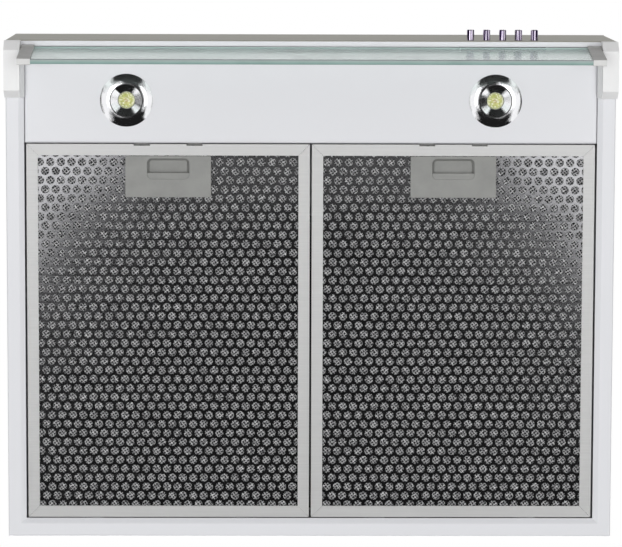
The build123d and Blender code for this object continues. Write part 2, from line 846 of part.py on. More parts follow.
# Motor: flange on the roof, can and bearing boss on a vertical axis
fan_axis = Axis((fan_x, fan_y, 0), (0, 0, 1))
fan = Plane(origin=(fan_x, fan_y, 0), x_dir=(1, 0, 0), z_dir=(0, -1, 0))
with BuildPart() as motor:
    with BuildSketch(fan):
        with BuildLine():
            Polyline(
                (0, roof_z),
                (motor_flange / 2, roof_z),
                (motor_flange / 2, roof_z - motor_flange_wall),
                (motor_diameter / 2, roof_z - motor_flange_wall),
                (motor_diameter / 2, motor_z),
                (boss_diameter / 2, motor_z),
                (boss_diameter / 2, motor_z - boss_height),
                (0, motor_z - boss_height),
                close=True,
            )
        make_face()
    revolve(axis=fan_axis)
    with BuildSketch(Plane((fan_x, fan_y, motor_z - boss_height))):
        Circle(shaft_diameter / 2 + run_fit)
    extrude(amount=shaft_in_motor + seat, mode=Mode.SUBTRACT)
    with Locations(*[(px, py, roof_z) for px, py in motor_screw_spots]):
        Cylinder(screw_hole, 4 * motor_flange_wall, mode=Mode.SUBTRACT)
save(motor, "motor")

with BuildPart() as shaft:
    with BuildSketch(Plane((fan_x, fan_y, hub_z))):
        Circle(shaft_diameter / 2)
    extrude(amount=hub_height + hub_gap + shaft_in_motor)
save(shaft, "motor_shaft")

# Impeller: ring of forward-curved blades on a dished disc that clears the motor
impeller_radius = impeller_diameter / 2
blade_inner = impeller_radius - blade_depth
with BuildPart() as impeller:
    with BuildSketch(fan):
        with BuildLine():
            Polyline(
                (shaft_diameter / 2, hub_z),
                (hub_diameter / 2, hub_z),
                (hub_diameter / 2, hub_top - dish_wall),
                (dish_bottom / 2 + dish_wall, hub_top - dish_wall),
                (dish_top / 2 + dish_wall, impeller_top - dish_wall),
                (impeller_radius, impeller_top - dish_wall),
                (impeller_radius, impeller_top),
                (dish_top / 2, impeller_top),
                (dish_bottom / 2, hub_top),
                (shaft_diameter / 2, hub_top),
                close=True,
            )
        make_face()
    revolve(axis=fan_axis)
    with BuildSketch(Plane((fan_x, fan_y, impeller_z))):
        Circle(impeller_radius)
        Circle(blade_inner, mode=Mode.SUBTRACT)
    extrude(amount=dish_wall)
    sweep_angle = radians(blade_sweep)
    with BuildSketch(Plane((fan_x, fan_y, impeller_z))):
        with PolarLocations(0, blade_count):
            with BuildLine():
                ThreePointArc(
                    (blade_inner, 0),
                    (blade_inner + blade_bow_reach, -blade_bow),
                    (
                        (impeller_radius - blade_wall) * cos(sweep_angle / 2),
                        (impeller_radius - blade_wall) * sin(sweep_angle / 2),
                    ),
                )
                offset(amount=blade_wall, side=Side.LEFT)
            make_face()
    extrude(amount=impeller_height)
save(impeller, "impeller")
screws([facing(px, py, 0, (0, 0, 1)) for px, py in motor_screw_spots], "motor_screws")
screws([facing(px, py, 0, (0, 0, 1)) for px, py in scroll_screw_spots], "scroll_screws")

# Motor capacitor lying against the roof
with BuildPart() as capacitor:
    with BuildSketch(facing(capacitor_x, capacitor_y, roof_z - capacitor_diameter / 2, (0, 1, 0))):
        Circle(capacitor_diameter / 2)
    extrude(amount=capacitor_length)
    fillet(edges().filter_by(GeomType.CIRCLE), radius=bend)
    with BuildSketch(Plane((capacitor_x, capacitor_y + capacitor_length / 2, roof_z))):
        Rectangle(capacitor_diameter / 2, capacitor_length / 2)
    extrude(amount=-capacitor_diameter / 2)
save(capacitor, "capacitor")

# Duct collar: flange, tube and the ledge that the closed flaps lie on
tube_outer = collar_diameter / 2
tube_inner = tube_outer - collar_wall
rod_radius = rod_diameter / 2
ledge_top = flap_level - flap_wall / 2 - seat
with BuildPart() as collar:
    with BuildSketch(Plane((0, collar_y, 0))):
        Circle(collar_flange / 2)
        Circle(tube_inner, mode=Mode.SUBTRACT)
    extrude(amount=collar_flange_wall)
    with BuildSketch(Plane((0, collar_y, 0))):
        Circle(tube_outer)
        Circle(tube_inner, mode=Mode.SUBTRACT)
    extrude(amount=collar_height)
    with BuildSketch(Plane((0, collar_y, ledge_top - ledge_wall))):
        Circle(tube_outer)
        Circle(tube_inner - ledge_width, mode=Mode.SUBTRACT)
    extrude(amount=ledge_wall)
    with Locations(*[(px, py, collar_flange_wall) for px, py in collar_screw_spots]):
        Cylinder(screw_hole, 4 * collar_flange_wall, mode=Mode.SUBTRACT)
    with BuildSketch(Plane.YZ.offset(-collar_diameter)):
        with Locations((collar_y, flap_level)):
            Circle(rod_radius)
    extrude(amount=2 * collar_diameter, mode=Mode.SUBTRACT)
save(collar, "duct_collar")
screws([facing(px, py, collar_flange_wall, (0, 0, 1)) for px, py in collar_screw_spots], "collar_screws")

with BuildPart() as rod:
    with BuildSketch(Plane(origin=(-tube_outer + seat, collar_y, flap_level), z_dir=(1, 0, 0))):
        Circle(rod_radius)
    extrude(amount=collar_diameter - 2 * seat)
save(rod, "flap_rod")

# Non-return flaps: half discs with two barrels each, side by side along the rod
barrel_radius = rod_radius + run_fit + barrel_wall
flap_radius = tube_inner - flap_gap
barrel_step = barrel_length + barrel_gap
flap_start = barrel_radius + seat
for name, toward, first in (("front_flap", -1, 0), ("rear_flap", 1, 1)):
    barrel_places = [(first + 2 * i - 1.5) * barrel_step for i in range(2)]
    with BuildPart() as flap:
        with BuildSketch(Plane((0, collar_y, flap_level - flap_wall / 2))):
            Circle(flap_radius)
            with Locations((0, -toward * (flap_radius - flap_start))):
                Rectangle(2 * flap_radius, 2 * flap_radius, mode=Mode.SUBTRACT)
            with Locations(*[(px, toward * flap_start) for px in barrel_places]):
                Rectangle(barrel_length, 2 * flap_start)
        extrude(amount=flap_wall)
        for px in barrel_places:
            with BuildSketch(Plane(origin=(px - barrel_length / 2, collar_y, flap_level), z_dir=(1, 0, 0))):
                Circle(barrel_radius)
            extrude(amount=barrel_length)
        with BuildSketch(Plane(origin=(-tube_outer, collar_y, flap_level), z_dir=(1, 0, 0))):
            Circle(rod_radius + run_fit)
        extrude(amount=collar_diameter, mode=Mode.SUBTRACT)
    save(flap, name)

# Terminal box with its lid, cable gland and LED driver, all under the roof
with BuildPart() as terminal_box:
    with BuildSketch(Plane((box_x, box_y, roof_z))):
        RectangleRounded(box_length, box_width, 2 * box_wall)
    extrude(amount=-box_height)
    offset(amount=-box_wall, openings=faces().sort_by(Axis.Z)[0])
save(terminal_box, "terminal_box")

with BuildPart() as terminal_lid:
    with BuildSketch(Plane((box_x, box_y, roof_z - box_height))):
        RectangleRounded(box_length, box_width, 2 * box_wall)
    extrude(amount=-lid_wall)
    chamfer(faces().sort_by(Axis.Z)[0].edges(), length=lid_wall / 2)
save(terminal_lid, "terminal_box_lid")

with BuildPart() as gland:
    with BuildSketch(Plane((box_x, gland_y, roof_z - gland_nut_height))):
        RegularPolygon(gland_nut / 2, 6)
    extrude(amount=gland_nut_height)
    with BuildSketch(Plane((box_x, gland_y, roof_z))):
        Circle(gland_thread / 2)
    extrude(amount=sheet)
    with BuildSketch(Plane((box_x, gland_y, 0))):
        RegularPolygon(gland_nut / 2, 6)
    extrude(amount=gland_nut_height)
    with BuildSketch(Plane((box_x, gland_y, gland_nut_height))):
        Circle(gland_thread / 2)
    extrude(amount=gland_height - gland_nut_height)
    with BuildSketch(Plane((box_x, gland_y, roof_z - gland_nut_height))):
        Circle(gland_bore / 2)
    extrude(amount=gland_nut_height + sheet + gland_height, mode=Mode.SUBTRACT)
save(gland, "cable_gland")

with BuildPart() as driver:
    with BuildSketch(Plane((box_x, driver_y, roof_z))):
        RectangleRounded(driver_width, driver_length, 2 * box_wall)
    extrude(amount=-driver_height)
    fillet(faces().sort_by(Axis.Z)[0].edges(), radius=bend)
save(driver, "led_driver")
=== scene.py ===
import bpy
import bmesh
from math import asin, atan2, cos, pi, radians, sin, sqrt
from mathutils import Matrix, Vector


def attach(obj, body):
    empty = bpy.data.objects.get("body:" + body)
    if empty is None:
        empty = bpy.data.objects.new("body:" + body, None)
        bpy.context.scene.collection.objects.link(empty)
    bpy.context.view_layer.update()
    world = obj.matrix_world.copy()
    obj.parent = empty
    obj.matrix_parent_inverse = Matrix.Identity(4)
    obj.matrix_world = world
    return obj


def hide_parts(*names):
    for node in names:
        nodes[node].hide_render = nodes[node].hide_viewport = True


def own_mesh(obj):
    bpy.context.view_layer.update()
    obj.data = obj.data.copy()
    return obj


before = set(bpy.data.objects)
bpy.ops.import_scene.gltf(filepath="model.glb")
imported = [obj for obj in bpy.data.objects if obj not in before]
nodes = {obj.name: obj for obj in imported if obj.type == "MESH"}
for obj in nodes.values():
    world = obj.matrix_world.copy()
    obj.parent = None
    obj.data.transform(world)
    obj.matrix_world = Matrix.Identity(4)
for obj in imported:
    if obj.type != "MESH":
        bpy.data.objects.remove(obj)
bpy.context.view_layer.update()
hands = (("left", -1), ("right", 1))
weldReach = 0.00002  # points of a repeated tile that lie closer become one
print("frame loaded,", len(nodes), "pieces")


# working helpers: one piece active at a time, parts of it picked by place or normal

def activate(piece):
    bpy.ops.object.select_all(action="DESELECT")
    piece.select_set(True)
    bpy.context.view_layer.objects.active = piece


def openEdit(piece, kind):
    activate(piece)
    bpy.ops.object.mode_set(mode="EDIT")
    bpy.ops.mesh.select_mode(type=kind)
    bpy.ops.mesh.select_all(action="DESELECT")


def openWhole(piece, kind):  # edit mode with all of the piece selected
    openEdit(piece, kind)
    bpy.ops.mesh.select_all(action="SELECT")


def closeEdit():
    bpy.ops.object.mode_set(mode="OBJECT")


def choose(piece, kind, test):
    bpy.ops.mesh.select_all(action="DESELECT")
    shape = bmesh.from_edit_mesh(piece.data)
    for part in {"VERT": shape.verts, "FACE": shape.faces}[kind]:
        if test(part):
            part.select_set(True)
    bmesh.update_edit_mesh(piece.data)


def faceOutwards():
    bpy.ops.mesh.select_all(action="SELECT")
    bpy.ops.mesh.normals_make_consistent(inside=False)


def useModifier(piece, kind, **settings):
    activate(piece)
    made = piece.modifiers.new(kind.lower(), kind)
    for name, value in settings.items():
        setattr(made, name, value)
    bpy.ops.object.modifier_apply(modifier=made.name)


def repeat(piece, count, step):
    useModifier(piece, "ARRAY", count=count, use_relative_offset=False, use_constant_offset=True,
                constant_offset_displace=step, use_merge_vertices=True, merge_threshold=weldReach)


def settle(piece):  # its place goes into the mesh
    activate(piece)
    bpy.ops.object.transform_apply(location=True, rotation=True, scale=True)


def copyOf(piece, shift):
    activate(piece)
    bpy.ops.object.duplicate()
    made = bpy.context.active_object
    bpy.ops.transform.translate(value=shift)
    settle(made)
    return made


def joined(parts):
    activate(parts[0])
    for part in parts[1:]:
        part.select_set(True)
    bpy.ops.object.join()
    return bpy.context.active_object


def trimTo(piece, low, high):  # keeps what lies in a rectangle seen from below
    for corner, outward in ((low, (-1, 0, 0)), (high, (1, 0, 0)), (low, (0, -1, 0)), (high, (0, 1, 0))):
        openWhole(piece, "FACE")
        bpy.ops.mesh.bisect(plane_co=(*corner, 0), plane_no=outward, clear_outer=True)
        closeEdit()


def openWindow(piece, low, high):  # takes a rectangle seen from below out of a flat piece
    for corner, normal in ((low, (1, 0, 0)), (high, (1, 0, 0)), (low, (0, 1, 0)), (high, (0, 1, 0))):
        openWhole(piece, "FACE")
        bpy.ops.mesh.bisect(plane_co=(*corner, 0), plane_no=normal)
        closeEdit()

    def inside(face):
        middle = face.calc_center_median()
        return low[0] < middle.x < high[0] and low[1] < middle.y < high[1]

    openEdit(piece, "FACE")
    choose(piece, "FACE", inside)
    bpy.ops.mesh.delete(type="FACE")
    closeEdit()


def finishPiece(piece, name, body, material, stands=()):
    piece.name = name
    piece.data.name = name
    piece.data.materials.clear()
    piece.data.materials.append(material)
    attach(piece, body)
    if stands:
        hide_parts(*stands)


# working helpers for node trees

def rgb(red, green, blue):
    return (red, green, blue, 1.0)


def addNode(tree, kind, values=None, **settings):
    node = tree.nodes.new("ShaderNode" + kind)
    for name, value in settings.items():
        setattr(node, name, value)
    for socket, value in (values or {}).items():
        if hasattr(value, "is_linked"):
            tree.links.new(value, node.inputs[socket])
        else:
            node.inputs[socket].default_value = value
    return node


def blend(tree, share, under, over, how="MIX"):
    mixed = addNode(tree, "Mix", {0: share, 6: under, 7: over}, data_type="RGBA", blend_type=how)
    return mixed.outputs[2]


def spreadOut(tree, value, low, high):  # low to high becomes 0 to 1
    return addNode(tree, "MapRange", {"Value": value, "From Min": low, "From Max": high}).outputs["Result"]


def colourRamp(tree, value, first, steps, last):
    ramp = addNode(tree, "ValToRGB", {0: value})
    band = ramp.color_ramp
    for place, tint in steps:
        band.elements.new(place).color = rgb(*tint)
    band.elements[0].color = rgb(*first)
    band.elements[-1].color = rgb(*last)
    return ramp.outputs["Color"]


# shared effects as node groups

def newGroup(name, inputs, outputs):
    tree = bpy.data.node_groups.new(name, "ShaderNodeTree")
    for sockets, side in ((inputs, "INPUT"), (outputs, "OUTPUT")):
        for socket, kind in sockets:
            tree.interface.new_socket(name=socket, in_out=side, socket_type="NodeSocket" + kind)
    return tree, tree.nodes.new("NodeGroupInput").outputs, tree.nodes.new("NodeGroupOutput").inputs


# patches between two tints and between two roughnesses
def mottleGroup():
    tree, given, out = newGroup(
        "surfaceMottle",
        [("Vector", "Vector"), ("Scale", "Float"), ("Light", "Color"), ("Dark", "Color"),
         ("Smooth", "Float"), ("Rough", "Float")],
        [("Color", "Color"), ("Roughness", "Float")],
    )
    noise = addNode(tree, "TexNoise", {"Vector": given["Vector"], "Scale": given["Scale"], "Detail": 5.0,
                                       "Roughness": 0.62})
    spread = spreadOut(tree, noise.outputs["Fac"], 0.34, 0.66)
    rough = addNode(tree, "MapRange", {"Value": spread, "To Min": given["Rough"], "To Max": given["Smooth"]})
    tree.links.new(blend(tree, spread, given["Dark"], given["Light"]), out["Color"])
    tree.links.new(rough.outputs["Result"], out["Roughness"])
    return tree


# fine cells and pits of a moulded or sprayed skin
def grainGroup():
    tree, given, out = newGroup("fineGrain", [("Vector", "Vector"), ("Scale", "Float"), ("Pits", "Float")],
                                [("Height", "Float")])
    noise = addNode(tree, "TexNoise", {"Vector": given["Vector"], "Scale": given["Scale"], "Detail": 3.0})
    cells = addNode(tree, "TexVoronoi", {"Vector": given["Vector"], "Scale": given["Scale"]},
                    feature="SMOOTH_F1")
    pits = addNode(tree, "Math", {0: cells.outputs["Distance"], 1: given["Pits"]}, operation="MULTIPLY")
    height = addNode(tree, "Math", {0: noise.outputs["Fac"], 1: pits.outputs[0]}, operation="ADD")
    tree.links.new(height.outputs[0], out["Height"])
    return tree


# long streaks left by rolling or brushing: Along and Across are the noise's scales
def streakGroup():
    tree, given, out = newGroup(
        "rolledStreaks",
        [("Vector", "Vector"), ("Along", "Float"), ("Across", "Float"), ("Light", "Color"), ("Dark", "Color"),
         ("Smooth", "Float"), ("Rough", "Float")],
        [("Color", "Color"), ("Roughness", "Float"), ("Height", "Float")],
    )
    scales = addNode(tree, "CombineXYZ", {"X": given["Along"], "Y": given["Across"], "Z": given["Across"]})
    stretched = addNode(tree, "VectorMath", {0: given["Vector"], 1: scales.outputs[0]}, operation="MULTIPLY")
    noise = addNode(tree, "TexNoise", {"Vector": stretched.outputs[0], "Scale": 1.0, "Detail": 6.0})
    spread = spreadOut(tree, noise.outputs["Fac"], 0.3, 0.7)
    rough = addNode(tree, "MapRange", {"Value": spread, "To Min": given["Smooth"], "To Max": given["Rough"]})
    tree.links.new(blend(tree, spread, given["Dark"], given["Light"]), out["Color"])
    tree.links.new(rough.outputs["Result"], out["Roughness"])
    tree.links.new(noise.outputs["Fac"], out["Height"])
    return tree


mottle, grain, streaks = mottleGroup(), grainGroup(), streakGroup()
bumpReach = dict(skin=0.0004, rolled=0.0002, turned=0.0001)
skinPits = 0.5


# plain values go on the shader's own sockets, what varies comes from the groups

def plainMaterial(name, plain):
    made = bpy.data.materials.new(name)
    made.use_nodes = True
    shader = made.node_tree.nodes["Principled BSDF"]
    for socket, value in plain.items():
        shader.inputs[socket].default_value = value
    return made, made.node_tree, shader


def startMaterial(name, plain, turn=(0, 0, 0), centre=(0, 0, 0)):
    made, tree, shader = plainMaterial(name, plain)
    spot = addNode(tree, "TexCoord")
    placed = addNode(tree, "Mapping", {"Vector": spot.outputs["Object"], "Location": centre,
                                       "Rotation": turn})
    return made, tree, shader, placed.outputs["Vector"]


def useGroup(tree, group, vector, values):
    node = tree.nodes.new("ShaderNodeGroup")
    node.node_tree = group
    tree.links.new(vector, node.inputs["Vector"])
    for socket, value in values.items():
        node.inputs[socket].default_value = value
    return node.outputs


def addPatches(tree, vector, look):
    return useGroup(tree, mottle, vector, {
        "Scale": look["patch"], "Light": rgb(*look["light"]), "Dark": rgb(*look["dark"]),
        "Smooth": look["smooth"], "Rough": look["rough"]})


def addStreaks(tree, vector, look):
    return useGroup(tree, streaks, vector, {
        "Along": look["along"], "Across": look["across"], "Light": rgb(*look["light"]),
        "Dark": rgb(*look["dark"]), "Smooth": look["smooth"], "Rough": look["rough"]})


def addBump(tree, shader, height, strength, distance):
    bump = addNode(tree, "Bump", {"Height": height, "Strength": strength, "Distance": distance})
    tree.links.new(bump.outputs["Normal"], shader.inputs["Normal"])


def addSkin(tree, shader, vector, look):
    cells = useGroup(tree, grain, vector, {"Scale": look["skin"], "Pits": skinPits})
    addBump(tree, shader, cells["Height"], look["depth"], bumpReach["skin"])


def feed(tree, shader, colour, roughness):
    tree.links.new(colour, shader.inputs["Base Color"])
    tree.links.new(roughness, shader.inputs["Roughness"])


# a smooth or moulded finish: two close tints in patches, and a fine skin
def skinFinish(name, plain=None, **look):
    made, tree, shader, vector = startMaterial(name, plain or {})
    patches = addPatches(tree, vector, look)
    feed(tree, shader, patches["Color"], patches["Roughness"])
    addSkin(tree, shader, vector, look)
    return made


# a rolled or brushed metal, its streaks along X unless it is turned
def rolledFinish(name, metal=1.0, turn=(0, 0, 0), **look):
    made, tree, shader, vector = startMaterial(name, {"Metallic": metal}, turn)
    lines = addStreaks(tree, vector, look)
    feed(tree, shader, lines["Color"], lines["Roughness"])
    addBump(tree, shader, lines["Height"], look["depth"], bumpReach["rolled"])
    return made


allMetal = {"Metallic": 1.0}
whiteEnamel = skinFinish(
    "whiteEnamel", {"Coat Weight": 0.35, "Coat Roughness": 0.08, "IOR": 1.5}, light=(0.795, 0.801, 0.83),
    dark=(0.787, 0.793, 0.822), smooth=0.27, rough=0.31, patch=5.0, skin=900.0, depth=0.05)
latchPlastic = skinFinish(
    "latchGreyPlastic", light=(0.305, 0.307, 0.295), dark=(0.275, 0.277, 0.267), smooth=0.46, rough=0.58,
    patch=60.0, skin=2600.0, depth=0.22)
bracketPlastic = skinFinish(
    "bracketGreyPlastic", light=(0.92, 0.92, 0.92), dark=(0.89, 0.89, 0.892), smooth=0.38, rough=0.5,
    patch=50.0, skin=2400.0, depth=0.16)
blackPlastic = skinFinish(
    "blackMoulding", light=(0.030, 0.030, 0.032), dark=(0.020, 0.020, 0.022), smooth=0.40, rough=0.58,
    patch=40.0, skin=1800.0, depth=0.3)
impellerPlastic = skinFinish(
    "impellerGreyPlastic", light=(0.55, 0.56, 0.57), dark=(0.50, 0.51, 0.52), smooth=0.4, rough=0.55,
    patch=40.0, skin=1800.0, depth=0.2)
boxPlastic = skinFinish(
    "boxGreyPlastic", light=(0.62, 0.62, 0.63), dark=(0.57, 0.57, 0.58), smooth=0.42, rough=0.56,
    patch=40.0, skin=1800.0, depth=0.25)
capacitorSkin = skinFinish(
    "capacitorSkin", {"Coat Weight": 0.3}, light=(0.74, 0.74, 0.71), dark=(0.69, 0.69, 0.66), smooth=0.22,
    rough=0.34, patch=30.0, skin=900.0, depth=0.08)
# mesh strands: patches from near white to near black a few millimetres across, painted glints and painted
# shade that vary from strand to strand
meshPaintedGlints = skinFinish(
    "meshPaintedGlints", {"Metallic": 0.08}, light=(0.95, 0.95, 0.955), dark=(0.12, 0.12, 0.13), smooth=0.22,
    rough=0.42, patch=420.0, skin=2000.0, depth=0.25)
meshShade = skinFinish(
    "meshShade", light=(0.016, 0.016, 0.017), dark=(0.008, 0.008, 0.009), smooth=0.6, rough=0.8,
    patch=220.0, skin=900.0, depth=0.4)
castAluminium = skinFinish(
    "castAluminium", allMetal, light=(0.58, 0.58, 0.60), dark=(0.48, 0.48, 0.50), smooth=0.4, rough=0.6,
    patch=90.0, skin=1500.0, depth=0.3)
galvanised = skinFinish(
    "galvanisedSteel", allMetal, light=(0.60, 0.61, 0.62), dark=(0.44, 0.45, 0.47), smooth=0.28, rough=0.5,
    patch=120.0, skin=600.0, depth=0.1)
zincPlate = skinFinish(
    "zincPlate", allMetal, light=(0.66, 0.66, 0.67), dark=(0.54, 0.54, 0.56), smooth=0.24, rough=0.4,
    patch=200.0, skin=1600.0, depth=0.12)
frameAluminium = rolledFinish(
    "satinFrameAluminium", metal=0.78, light=(0.90, 0.90, 0.895), dark=(0.85, 0.85, 0.845), smooth=0.42,
    rough=0.52, along=14.0, across=900.0, depth=0.05)
sheetAluminium = rolledFinish(
    "polishedSheet", light=(0.70, 0.70, 0.72), dark=(0.60, 0.60, 0.62), smooth=0.07, rough=0.13,
    along=10.0, across=700.0, depth=0.012)
backAluminium = rolledFinish(
    "backSheetAluminium", turn=(0, 0, pi / 2), light=(0.74, 0.74, 0.75), dark=(0.66, 0.66, 0.67),
    smooth=0.35, rough=0.45, along=10.0, across=700.0, depth=0.05)
springSteel = rolledFinish(
    "springSteel", light=(0.56, 0.56, 0.58), dark=(0.46, 0.46, 0.48), smooth=0.25, rough=0.38,
    along=30.0, across=1500.0, depth=0.08)

# fascia: the front face painted a darker warm grey with brushed streaks, painted shade for a face turned away
# from the light; body white on its narrow bottom lip and returns
fasciaLook = dict(
    front=-0.247, wrap=0.0011, metal=0.25, depth=0.02,
    paintedShadeFront=dict(light=(0.46, 0.445, 0.39), dark=(0.42, 0.405, 0.355), smooth=0.42, rough=0.55, along=6.0,
                 across=1200.0),
    lip=dict(light=(0.772, 0.778, 0.806), dark=(0.75, 0.757, 0.786), smooth=0.26, rough=0.34, patch=9.0),
)


def fasciaFinish():
    made, tree, shader, vector = startMaterial("fasciaPaintedShade", {"Specular IOR Level": 0.3})
    # the darker grey of the front face is painted shade
    lines = addStreaks(tree, vector, fasciaLook["paintedShadeFront"])
    patches = addPatches(tree, vector, fasciaLook["lip"])
    axes = addNode(tree, "SeparateXYZ", {0: vector})
    face = addNode(tree, "Math", {0: axes.outputs["Y"], 1: fasciaLook["front"] + fasciaLook["wrap"]},
                   operation="LESS_THAN").outputs[0]
    rough = addNode(tree, "Mix", {0: face, 2: patches["Roughness"], 3: lines["Roughness"]})
    metal = addNode(tree, "Math", {0: face, 1: fasciaLook["metal"]}, operation="MULTIPLY")
    feed(tree, shader, blend(tree, face, patches["Color"], lines["Color"]), rough.outputs[0])
    tree.links.new(metal.outputs[0], shader.inputs["Metallic"])
    addBump(tree, shader, lines["Height"], fasciaLook["depth"], bumpReach["rolled"])
    return made


fasciaPaintedShade = fasciaFinish()

# clear pane, tinted green by the length of glass that light passes through
glassLook = dict(
    plain={"Transmission Weight": 1.0, "IOR": 1.2, "Base Color": rgb(0.97, 0.99, 0.98)},
    absorb=(0.10, 0.86, 0.66), density=6.5,
    smears=dict(light=(1, 1, 1), dark=(0, 0, 0), smooth=0.14, rough=0.22, patch=14.0),
)


def glassFinish():
    made, tree, shader, vector = startMaterial("visorGlass", glassLook["plain"])
    smears = addPatches(tree, vector, glassLook["smears"])
    tree.links.new(smears["Roughness"], shader.inputs["Roughness"])
    body = addNode(tree, "VolumeAbsorption", {"Color": rgb(*glassLook["absorb"]),
                                              "Density": glassLook["density"]})
    tree.links.new(body.outputs["Volume"], tree.nodes["Material Output"].inputs["Volume"])
    return made


visorGlass = glassFinish()

# things measured on the tilted visor from its pivot: the arms' pale ends and the ground edges of the pane
visorPlan = dict(pivot=(0.0, -0.2377, -0.134), tilt=radians(8.0), armEnd=0.063, paleEnd=0.0004,
                 halfThick=0.0025)
visorDown = (0, sin(visorPlan["tilt"]), -cos(visorPlan["tilt"]))
visorRearward = (0, cos(visorPlan["tilt"]), sin(visorPlan["tilt"]))
# visor arms: light grey plastic painted a mid grey along their length as painted shade, and pale on their end
# faces, the plastic's own tone
armPaintedShadeLook = dict(light=(0.47, 0.465, 0.455), dark=(0.44, 0.435, 0.425), smooth=0.45, rough=0.58, patch=60.0,
               skin=2600.0, depth=0.2, pale=(0.74, 0.74, 0.73))
# pane edges: the green is the glass's own tint; the dark band at the front and the lighter band in the middle
# across each edge are painted shade and painted highlight
edgeLightBands = dict(
    front=(0.27, 0.285, 0.29), rear=(0.20, 0.33, 0.30),
    steps=((0.1, (0.27, 0.285, 0.29)), (0.2, (0.42, 0.49, 0.485)), (0.55, (0.33, 0.46, 0.43))),
    patches=dict(light=(1, 1, 1), dark=(0.86, 0.88, 0.87), smooth=0.3, rough=0.45, patch=40.0),
)


def visorDistance(tree, vector, way):
    spot = addNode(tree, "VectorMath", {0: vector, 1: visorPlan["pivot"]}, operation="SUBTRACT")
    return addNode(tree, "VectorMath", {0: spot.outputs[0], 1: way}, operation="DOT_PRODUCT").outputs["Value"]


def armFinish():
    made, tree, shader, vector = startMaterial("armPlasticPaintedShade", {})
    patches = addPatches(tree, vector, armPaintedShadeLook)
    # the end face keeps the pale tone, the rest of the arm carries painted shade
    end = addNode(tree, "Math", {0: visorDistance(tree, vector, visorDown),
                                 1: visorPlan["armEnd"] - visorPlan["paleEnd"]}, operation="GREATER_THAN")
    tint = blend(tree, end.outputs[0], patches["Color"], rgb(*armPaintedShadeLook["pale"]))
    feed(tree, shader, tint, patches["Roughness"])
    addSkin(tree, shader, vector, armPaintedShadeLook)
    return made


def glassEdgePaintedLightFinish():
    made, tree, shader, vector = startMaterial("groundEdgePaintedLight", {"Specular IOR Level": 0.3})
    half = visorPlan["halfThick"]
    depth = spreadOut(tree, visorDistance(tree, vector, visorRearward), -half, half)
    # bands across the edge: painted shade at the front, painted highlight in the middle, teal at the rear
    bands = colourRamp(tree, depth, edgeLightBands["front"], edgeLightBands["steps"], edgeLightBands["rear"])
    patches = addPatches(tree, vector, edgeLightBands["patches"])
    feed(tree, shader, blend(tree, 1.0, bands, patches["Color"], "MULTIPLY"), patches["Roughness"])
    return made


armPaintedShade, glassEdgePaintedLight = armFinish(), glassEdgePaintedLightFinish()

# push buttons: violet-tinted chrome, with dark and light lines along each button that are painted reflections
buttonReflectionLook = dict(
    lines=118.0, stray=5.0, strayDetail=2.0, strayScale=1.6, along=0.12,
    first=(0.02, 0.01, 0.04), last=(0.95, 0.92, 0.98),
    steps=((0.3, (0.06, 0.04, 0.11)), (0.55, (0.40, 0.33, 0.48)), (0.8, (0.82, 0.75, 0.88))),
    patches=dict(light=(1, 1, 1), dark=(0.9, 0.88, 0.92), smooth=0.06, rough=0.12, patch=60.0),
)


def buttonReflectionFinish():
    made, tree, shader, vector = startMaterial("chromePaintedReflections", allMetal)
    long = addNode(tree, "VectorMath", {0: vector, 1: (1.0, buttonReflectionLook["along"], 1.0)}, operation="MULTIPLY")
    drawn = addNode(tree, "TexWave", {"Vector": long.outputs[0], "Scale": buttonReflectionLook["lines"],
                                      "Distortion": buttonReflectionLook["stray"], "Detail": buttonReflectionLook["strayDetail"],
                                      "Detail Scale": buttonReflectionLook["strayScale"]})
    # the dark and light lines are painted reflections of the surroundings
    bands = colourRamp(tree, drawn.outputs["Fac"], buttonReflectionLook["first"], buttonReflectionLook["steps"],
                       buttonReflectionLook["last"])
    patches = addPatches(tree, vector, buttonReflectionLook["patches"])
    feed(tree, shader, blend(tree, 1.0, bands, patches["Color"], "MULTIPLY"), patches["Roughness"])
    return made


buttonPaintedReflections = buttonReflectionFinish()

# lamps: rings turned on a lathe, with fine grooves round their own axis
lampSpots = dict(inset=0.1815, setback=-0.1877)
ringLook = dict(light=(0.94, 0.94, 0.955), dark=(0.89, 0.89, 0.91), smooth=0.09, rough=0.14, patch=60.0,
                grooves=2600.0, stray=0.6, depth=0.1)


def turnedFinish(hand, sign):
    centre = (-sign * lampSpots["inset"], -lampSpots["setback"], 0.0)
    made, tree, shader, vector = startMaterial(hand + "TurnedChrome", allMetal, centre=centre)
    patches = addPatches(tree, vector, ringLook)
    feed(tree, shader, patches["Color"], patches["Roughness"])
    rings = addNode(tree, "TexWave", {"Vector": vector, "Scale": ringLook["grooves"],
                                      "Distortion": ringLook["stray"]},
                    wave_type="RINGS", rings_direction="Z")
    addBump(tree, shader, rings.outputs["Fac"], ringLook["depth"], bumpReach["turned"])
    return made


# LED lens: yellow phosphor under facets, with a warm dot in the middle and bright glints
lensLook = dict(
    plain={"Coat Weight": 0.8, "Coat Roughness": 0.06, "IOR": 1.5}, reach=0.0086,
    dot=(0.50, 0.28, 0.10), rim=(0.78, 0.79, 0.62),
    steps=((0.3, (0.83, 0.80, 0.36)), (0.62, (0.74, 0.77, 0.24)), (0.9, (0.80, 0.80, 0.50))),
    patches=dict(light=(1, 1, 1), dark=(0.42, 0.46, 0.3), smooth=0.08, rough=0.22, patch=300.0),
    patchShare=0.8, facets=900.0, glintFrom=0.72, glintFull=0.8, glint=(0.92, 0.93, 0.66),
)


